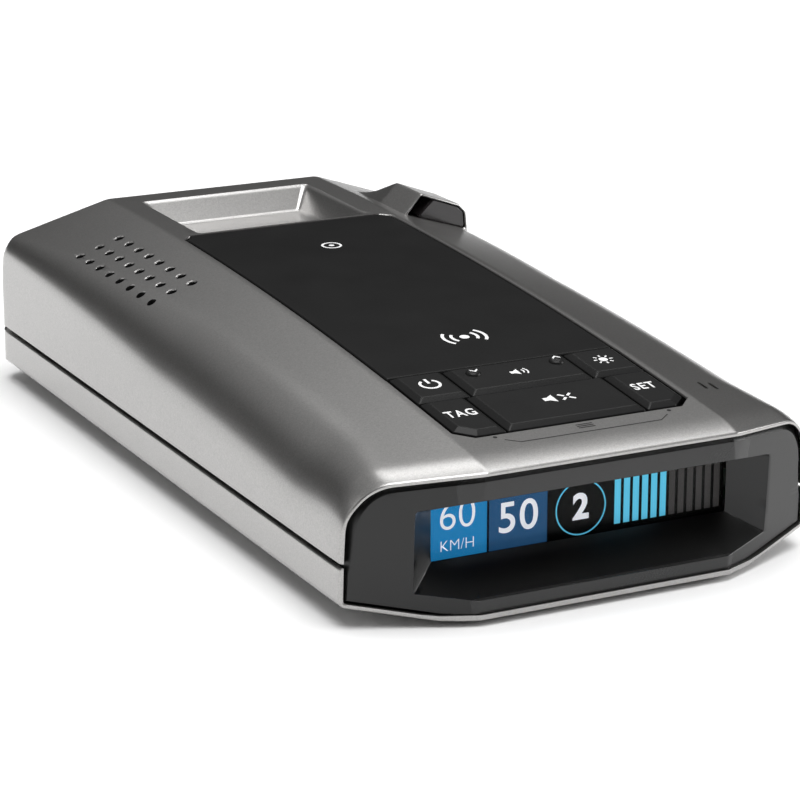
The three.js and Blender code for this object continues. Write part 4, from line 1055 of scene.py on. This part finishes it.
def bezelSolid():
    gap, lip, wall = bezel["gap"], bodyLaw["lip"], bodyLaw["wall"]
    rim = lip + gap
    knee = bodyLaw["facetHalf"]
    face = bodyRing(bezel["setback"], 0, rim + bezel["bevel"], False)
    marks = bezelMarks(face)
    mouthKeys = [(0, bezel["bottom"]), (knee, bezel["bottom"]), (bezel["openingHalf"], bezel["bottomSide"]),
                 (bezel["openingHalf"], bezel["topSide"]), (knee, bezel["top"]), (0, bezel["top"])]
    screenKnee = bezel["screenHalf"] * knee / bezel["openingHalf"]
    screenKeys = [(0, bezel["screenBottom"]), (screenKnee, bezel["screenBottom"]),
                  (bezel["screenHalf"], bezel["screenBottom"]), (bezel["screenHalf"], bezel["screenTop"]),
                  (screenKnee, bezel["screenTop"]), (0, bezel["screenTop"])]
    mouth = openingRing(face, marks, mouthKeys, 2)
    screen = openingRing(face, marks, screenKeys, 1)
    bevel = bezel["bevel"] * np.clip((face[:, 2] - 3.5) / 9, 0.22, 1)
    bevel = (bevel + np.roll(bevel, 1) + np.roll(bevel, -1)) / 3
    rings = [bodyRing(bezel["back"], 0, wall + gap, False), bodyRing(4.0, 0, wall + gap, False),
             bodyRing(3.9, 0, wall + gap, False), bodyRing(3.6, 0, rim, False),
             bodyRing(1.8, 0, rim, False, bezel["setback"] + bevel + 0.15),
             bodyRing(1.8, 0, rim + 0.05, False, bezel["setback"] + bevel),
             bodyRing(1.8, 0, rim + 0.05 + bevel * 0.1, False, bezel["setback"] + bevel * 0.9),
             bodyRing(0.7, 0, rim + bevel * 0.9, False, bezel["setback"] + bevel * 0.12),
             bodyRing(0.6, 0, rim + bevel * 0.98, False, bezel["setback"] + bevel * 0.03),
             bodyRing(0.6, 0, rim + bevel + 0.1, False, bezel["setback"])]
    faceEdge = rings[-1]
    def facePoint(outline, setback):
        y = frontLimit(outline[:, 0], outline[:, 1]) + setback
        return np.stack([outline[:, 0], y, outline[:, 1]], axis=1)
    for share in (0.3, 0.6, 0.9):
        outline = faceEdge[:, [0, 2]] * (1 - share) + mouth * share
        rings.append(facePoint(outline, bezel["setback"]))
    centre = np.array([0, 10.9])
    grown = centre + (mouth - centre) * 1.008
    rings.append(facePoint(grown, bezel["setback"]))
    rings.append(facePoint(centre + (mouth - centre) * 1.002, bezel["setback"] + 0.05))
    rings.append(facePoint(mouth, bezel["setback"] + 0.16))
    start = facePoint(mouth, bezel["setback"] + 0.16)
    end = np.stack([screen[:, 0], np.full(pointCount, bezel["screenDepth"]), screen[:, 1]], axis=1)
    for share in (0.25, 0.5, 0.75, 0.97, 1.0):
        rings.append(start * (1 - share) + end * share)
    back = rings[0].copy()
    back = np.array([0, 0, 11.5]) + (back - np.array([0, 0, 11.5])) * np.array([0.94, 1, 0.92])
    rings.append(np.stack([screen[:, 0] * 1.015, np.full(pointCount, bezel["screenDepth"] + 0.1),
                           11.9 + (screen[:, 1] - 11.9) * 1.03], axis=1))
    rings.append(back)
    return loft("bezelSolid", rings, True)


place(smooth(bezelSolid(), 24), "displayBezel", "case", finishes["bezel"], "gloss_bezel", "display_bezel")
print("bezel made")


# ---- keys ----
def keySolid(outline, bumps=()):
    bottom, top = well["proud"] - well["thick"], well["proud"]
    bevel, drop, soft = well["bevel"], well["bevelDrop"], well["soft"]
    levels = [(bottom, 0.15), (bottom + 0.15, 0), (top - drop - soft, 0),
              (top - drop - soft * 0.3, soft * 0.15),
              (top - drop + soft * 0.3, soft * 0.6), (top - soft * 0.5, bevel - soft * 0.8),
              (top - soft * 0.15, bevel - soft * 0.1), (top, bevel + soft * 0.8)]
    rings = [[onDeck(x, v, n) for x, v in roundOutline(outline, inset, 0.28, 4)] for n, inset in levels]
    key = loft("key", rings)
    for x, v in bumps:
        dome = []
        for level in np.linspace(-0.6, 1, 9):
            radius = max(bump["tip"], bump["radius"] * math.sqrt(max(0.0, 1 - level * level)))
            height = top + bump["rise"] * level
            dome.append([onDeck(x + radius * math.cos(t), v + radius * math.sin(t), height)
                         for t in np.linspace(0, 2 * math.pi, 28, endpoint=False)])
        carve(key, loft("dome", dome), "UNION")
    return key


bump = {"radius": 1.15, "rise": 0.55, "tip": 0.12, "spots": (-6.4, 7.2)}
rowSplit = -deckHalf + well["frontRow"] / math.cos(deckTilt)
frontRow = (-deckHalf + well["gap"], rowSplit - well["gap"] / 2)
rearRow = (rowSplit + well["gap"] / 2, deckHalf - well["gap"] / 2)
keyHalf = well["half"] - well["gap"] / 2
rearMiddle, frontMiddle = sum(rearRow) / 2, sum(frontRow) / 2
gapHalf = well["gap"] / 2


def rectangle(x0, x1, rows):
    return [(x0, rows[1]), (x0, rows[0]), (x1, rows[0]), (x1, rows[1])]


def cornerOutline(side):
    inner, chamfer = well["frontSplit"] + gapHalf, well["chamfer"]
    points = [(inner, frontRow[1]), (inner, frontRow[0]), (keyHalf - chamfer, frontRow[0]),
              (keyHalf, frontRow[0] + chamfer), (keyHalf, frontRow[1])]
    return points if side > 0 else [(-x, v) for x, v in reversed(points)]


keyOutlines = {
    "power_key": (rectangle(-keyHalf, -well["rearSplit"] - gapHalf, rearRow), ()),
    "volume_key": (rectangle(-well["rearSplit"] + gapHalf, well["rearSplit"] - gapHalf, rearRow),
                   [(x, rearMiddle + 1.6) for x in bump["spots"]]),
    "brightness_key": (rectangle(well["rearSplit"] + gapHalf, keyHalf, rearRow), ()),
    "mark_key": (cornerOutline(-1), ()),
    "mute_key": (rectangle(-well["frontSplit"] + gapHalf, well["frontSplit"] - gapHalf, frontRow), ()),
    "sensitivity_key": (cornerOutline(1), ()),
}
for node, (outline, bumps) in keyOutlines.items():
    parts = node.split("_")
    place(smooth(keySolid(outline, bumps), 30), parts[0] + "Key", node, finishes["key"], "key_plastic", node)
print("keys made")


# ---- lettering and marks ----
def textObject(words, size, spacing=1.0, bold=0.0):
    curve = bpy.data.curves.new("words", "FONT")
    curve.body = words
    curve.size = size * mm
    curve.align_x = "CENTER"
    curve.align_y = "CENTER"
    curve.space_character = spacing
    curve.offset = bold * mm
    curve.extrude = 0.008 * mm
    curve.resolution_u = 6
    temporary = bpy.data.objects.new("words", curve)
    bpy.context.scene.collection.objects.link(temporary)
    bpy.context.view_layer.update()
    graph = bpy.context.evaluated_depsgraph_get()
    mesh = bpy.data.meshes.new_from_object(temporary.evaluated_get(graph))
    bpy.data.objects.remove(temporary)
    merged = bmesh.new()
    merged.from_mesh(mesh)
    bmesh.ops.remove_doubles(merged, verts=merged.verts, dist=0.0001 * mm)
    bmesh.ops.recalc_face_normals(merged, faces=merged.faces)
    merged.to_mesh(mesh)
    merged.free()
    obj = bpy.data.objects.new("words", mesh)
    bpy.context.scene.collection.objects.link(obj)
    return obj


# Puts a mark drawn in its own plane (right, up, out) into the frame.
def lay(obj, origin, right, up, stretch=(1, 1)):
    out = Vector(right).cross(Vector(up)).normalized()
    frameMatrix = Matrix((Vector(right) * stretch[0], Vector(up) * stretch[1], out)).transposed().to_4x4()
    x, y, z = origin
    frameMatrix.translation = Vector((x * mm, (y - length / 2) * mm, z * mm))
    obj.data.transform(frameMatrix)
    obj.data.update()
    return obj


deckUp = (0, math.cos(deckTilt), math.sin(deckTilt))
printLift = 0.012


def deckMark(obj, x, v, stretch=(1, 1), lift=printLift):
    return lay(obj, onDeck(x, v, well["proud"] + lift), (1, 0, 0), deckUp, stretch)


# A flat mark cut from closed outlines, in millimetres in its own plane, given a little thickness.
def flatMark(strips, thick=0.016):
    points, faces = [], []
    for inner, outer, loop in strips:
        count = len(inner)
        base = len(points)
        for z in (0, thick):
            points += [(x * mm, y * mm, z * mm) for x, y in inner]
            points += [(x * mm, y * mm, z * mm) for x, y in outer]
        lowIn, lowOut, highIn, highOut = base, base + count, base + 2 * count, base + 3 * count
        for k in range(count if loop else count - 1):
            n = (k + 1) % count
            faces += [(highIn + k, highIn + n, highOut + n, highOut + k),
                      (lowIn + n, lowIn + k, lowOut + k, lowOut + n),
                      (lowIn + k, lowIn + n, highIn + n, highIn + k),
                      (lowOut + n, lowOut + k, highOut + k, highOut + n)]
        if not loop:
            e = count - 1
            faces += [(lowIn, highIn, highOut, lowOut), (highIn + e, lowIn + e, lowOut + e, highOut + e)]
    mesh = bpy.data.meshes.new("mark")
    mesh.from_pydata(points, [], faces)
    obj = bpy.data.objects.new("mark", mesh)
    bpy.context.scene.collection.objects.link(obj)
    return faceOut(obj)


def ringStrip(radius, widthOfLine, start=0.0, end=360.0, centre=(0, 0), steps=40):
    loop = end - start >= 360
    angles = np.radians(np.linspace(end, start, steps, endpoint=not loop))
    inner = [(centre[0] + (radius - widthOfLine / 2) * math.cos(t),
              centre[1] + (radius - widthOfLine / 2) * math.sin(t)) for t in angles]
    outer = [(centre[0] + (radius + widthOfLine / 2) * math.cos(t),
              centre[1] + (radius + widthOfLine / 2) * math.sin(t)) for t in angles]
    return inner, outer, loop


def barStrip(x0, y0, x1, y1, widthOfLine):
    along = Vector((x1 - x0, y1 - y0)).normalized()
    side = Vector((-along.y, along.x)) * widthOfLine / 2
    near = [(x0 - side.x, y0 - side.y), (x1 - side.x, y1 - side.y)]
    far = [(x0 + side.x, y0 + side.y), (x1 + side.x, y1 + side.y)]
    return near, far, False


# A line through several points from left to right, as one strip of even height.
def pathStrip(points, height):
    return [(x, y - height / 2) for x, y in points], [(x, y + height / 2) for x, y in points], False


# A filled disc, cut into columns from left to right.
def dotStrip(radius, centre=(0, 0), steps=16):
    angles = np.radians(np.linspace(168, 12, steps))
    low = [(centre[0] + radius * math.cos(t), centre[1] - radius * math.sin(t)) for t in angles]
    high = [(centre[0] + radius * math.cos(t), centre[1] + radius * math.sin(t)) for t in angles]
    return low, high, False


# The outline of a small loudspeaker that opens to the right.
def hornStrip(x):
    profile = ((-1.25, 0.38), (-0.65, 0.38), (0.1, 0.95))
    low = [(x + along, -half) for along, half in profile]
    high = [(x + along, half) for along, half in profile]
    return low, high, False


sideRear = (keyHalf + well["rearSplit"]) / 2
sideFront = (keyHalf + well["frontSplit"]) / 2
words = [
    ("markWord", "TAG", -sideFront - 0.2, frontMiddle + 0.3, "mark_key", 2.7),
    ("sensitivityWord", "SET", sideFront - 0.3, frontMiddle + 0.3, "sensitivity_key", 2.7),
]
for name, body, x, v, node, size in words:
    mark = deckMark(textObject(body, size, 1.16, 0.045), x, v, (0.8, 1.12))
    place(mark, name, node, finishes["white"], "key_plastic")
cross = [barStrip(1.1 + 0.2 * a, 0.2 * b, 1.1 + 0.75 * a, 0.75 * b, 0.3)
         for a, b in ((1, 1), (-1, 1), (-1, -1), (1, -1))]
muteSign = flatMark([hornStrip(-0.5), *cross])
place(deckMark(muteSign, 0.6, frontMiddle + 0.7, (1.3, 1.3)), "muteSign", "mute_key", finishes["white"],
      "key_plastic")
soundArcs = [ringStrip(radius, 0.24, -42, 42, (-0.25, 0)) for radius in (0.75, 1.35)]
volumeSign = flatMark([hornStrip(-0.4), *soundArcs])
place(deckMark(volumeSign, 0.4, rearMiddle), "volumeSign", "volume_key", finishes["white"], "key_plastic")
rayTurns = np.radians(np.arange(0, 360, 45))
rays = [barStrip(*(radius * part for radius in (1.0, 1.55) for part in (math.cos(t), math.sin(t))), 0.26)
        for t in rayTurns]
brightnessSign = flatMark([dotStrip(0.68), *rays])
place(deckMark(brightnessSign, sideRear, rearMiddle), "brightnessSign", "brightness_key", finishes["white"],
      "key_plastic")
powerSign = flatMark([ringStrip(1.45, 0.42, 125, 415), barStrip(0, 0.3, 0, 1.9, 0.42)])
place(deckMark(powerSign, -sideRear, rearMiddle + 0.1), "powerSign", "power_key", finishes["white"],
      "key_plastic")
for name, x, turn in (("volumeDownSign", bump["spots"][0], -1), ("volumeUpSign", bump["spots"][1], 1)):
    tip = 0.62 * turn
    sign = flatMark([pathStrip([(-0.62, 0), (0, tip), (0.62, 0)], 0.38)])
    place(deckMark(sign, x, rearMiddle + 1.6 + 0.1, lift=bump["rise"] - 0.02), name, "volume_key",
          finishes["white"], "key_plastic")


def crownMark(obj, x, y, stretch=(1, 1), lift=printLift):
    slope = (crown(y + 0.01) - crown(y - 0.01)) / 0.02
    up = Vector((0, 1, slope)).normalized()
    return lay(obj, (x, y, crown(y) + lift), (1, 0, 0), up, stretch)


positionSign = flatMark([dotStrip(0.45), ringStrip(1.5, 0.36)])
place(crownMark(positionSign, 1.4, 92.2), "positionSign", "case", finishes["white"], "satin_black")
signalArcs = [ringStrip(radius, 0.5, middle - 40, middle + 40) for radius in (2.0, 3.3) for middle in (0, 180)]
signalSign = flatMark([dotStrip(0.75), *signalArcs])
place(crownMark(signalSign, 0, 43.8), "signalSign", "case", finishes["white"], "satin_black")
bracketLine = pathStrip([(-12.9, 1.4), (-11.1, 0), (11.1, 0), (12.9, 1.4)], 0.18)
bracket = flatMark([bracketLine, dotStrip(0.32, (-13.8, 2.5), 10), dotStrip(0.32, (13.8, 2.5), 10)])
place(crownMark(bracket, 0, 6.33), "frontBracket", "case", finishes["blackInk"], "case_paint")
menuSign = flatMark([barStrip(-1.3, height, 1.3, height, 0.2) for height in (-0.5, 0, 0.5)])
place(crownMark(menuSign, 0, 8.2), "menuSign", "case", finishes["blackInk"], "case_paint")
print("marks made")

# ---- the display ----
display = {"plane": 10.93, "low": 6.8, "high": 16.6}


def screenMark(obj, x, z, stretch=(1, 1), lift=0.0):
    return lay(obj, (x, display["plane"] - lift, z), (1, 0, 0), (0, 0, 1), stretch)


def screenTile(name, x0, x1, z0, z1, finish, lift=0.0):
    tile = flatMark([([(x0, z0), (x1, z0)], [(x0, z1), (x1, z1)], False)])
    place(screenMark(tile, 0, 0, lift=lift), name, "case", finishes[finish], "display_panel")


screenTile("blueTile", -22.7, -13.8, display["low"], display["high"], "litBlue")
screenTile("deepTile", -13.45, -4.3, display["low"], display["high"], "litDeep")
for index in range(12):
    x = 6.55 + index * 1.49
    finish = "litCyan" if index < 6 else "litGrey"
    screenTile(f"levelBar.{index + 1}", x, x + 1.0, 7.65, display["high"], finish)
bandRing = flatMark([ringStrip(3.95, 0.2, steps=64)])
place(screenMark(bandRing, 1.1, 10.95), "bandRing", "case", finishes["litCyan"], "display_panel")
place(screenMark(textObject("2", 5.2, 1.0, 0.18), 1.1, 10.95), "bandNumber", "case", finishes["litWhite"],
      "display_panel")
place(screenMark(textObject("50", 6.3, 1.08, 0.06), -8.9, 11.1, lift=0.03), "limitNumber", "case",
      finishes["litWhite"], "display_panel")
place(screenMark(textObject("60", 6.0, 1.0, -0.06), -18.4, 12.8, lift=0.03), "speedNumber", "case",
      finishes["litWhite"], "display_panel")
place(screenMark(textObject("KM/H", 2.3, 0.98, -0.04), -18.4, 8.6, lift=0.03), "unitWord", "case",
      finishes["litWhite"], "display_panel")
print("display made")


# ---- the hood's window ----
def hoodWindow():
    start, shift = hood["front"] + 0.3, 2.0
    rings = [mouthOutline(start + setback, -lens, shift)
             for setback, lens in ((0, 0.34), (0.05, 0.2), (0.16, 0.1), (0.34, 0.06), (3.2, 0.06))]
    return loft("hoodWindow", rings)


place(smooth(hoodWindow(), 30), "hoodWindow", "case", finishes["infrared"], "infrared_window",
      "rear_laser_window")

# ---- carried-over nodes ----
carried = {
    "display_window": "window", "display_module": "screen", "display_cable": "film", "key_mat": "silicone",
    "key_board": "board", "main_board": "board", "rear_laser_sensor": "board", "shield_can": "tin",
    "processor": "chip", "laser_receiver": "chip", "light_sensor": "chip", "speaker": "chip",
    "horn_antenna": "zinc", "road_window": "infrared", "gps_antenna": "ceramic", "speaker_mesh": "cloth",
    "mount_magnet_left": "nickel", "mount_magnet_right": "nickel", "key_board_screw_left": "nickel",
    "key_board_screw_right": "nickel", "power_socket": "socket", "earphone_socket": "socket",
    "usb_socket": "tin", "rating_label": "label", "case_screw_front_left": "blackSteel",
    "case_screw_front_right": "blackSteel", "case_screw_rear_left": "blackSteel",
    "case_screw_rear_right": "blackSteel",
}
for node, finish in carried.items():
    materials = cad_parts[node].data.materials
    materials.clear()
    materials.append(finishes[finish])
print("carried nodes finished")
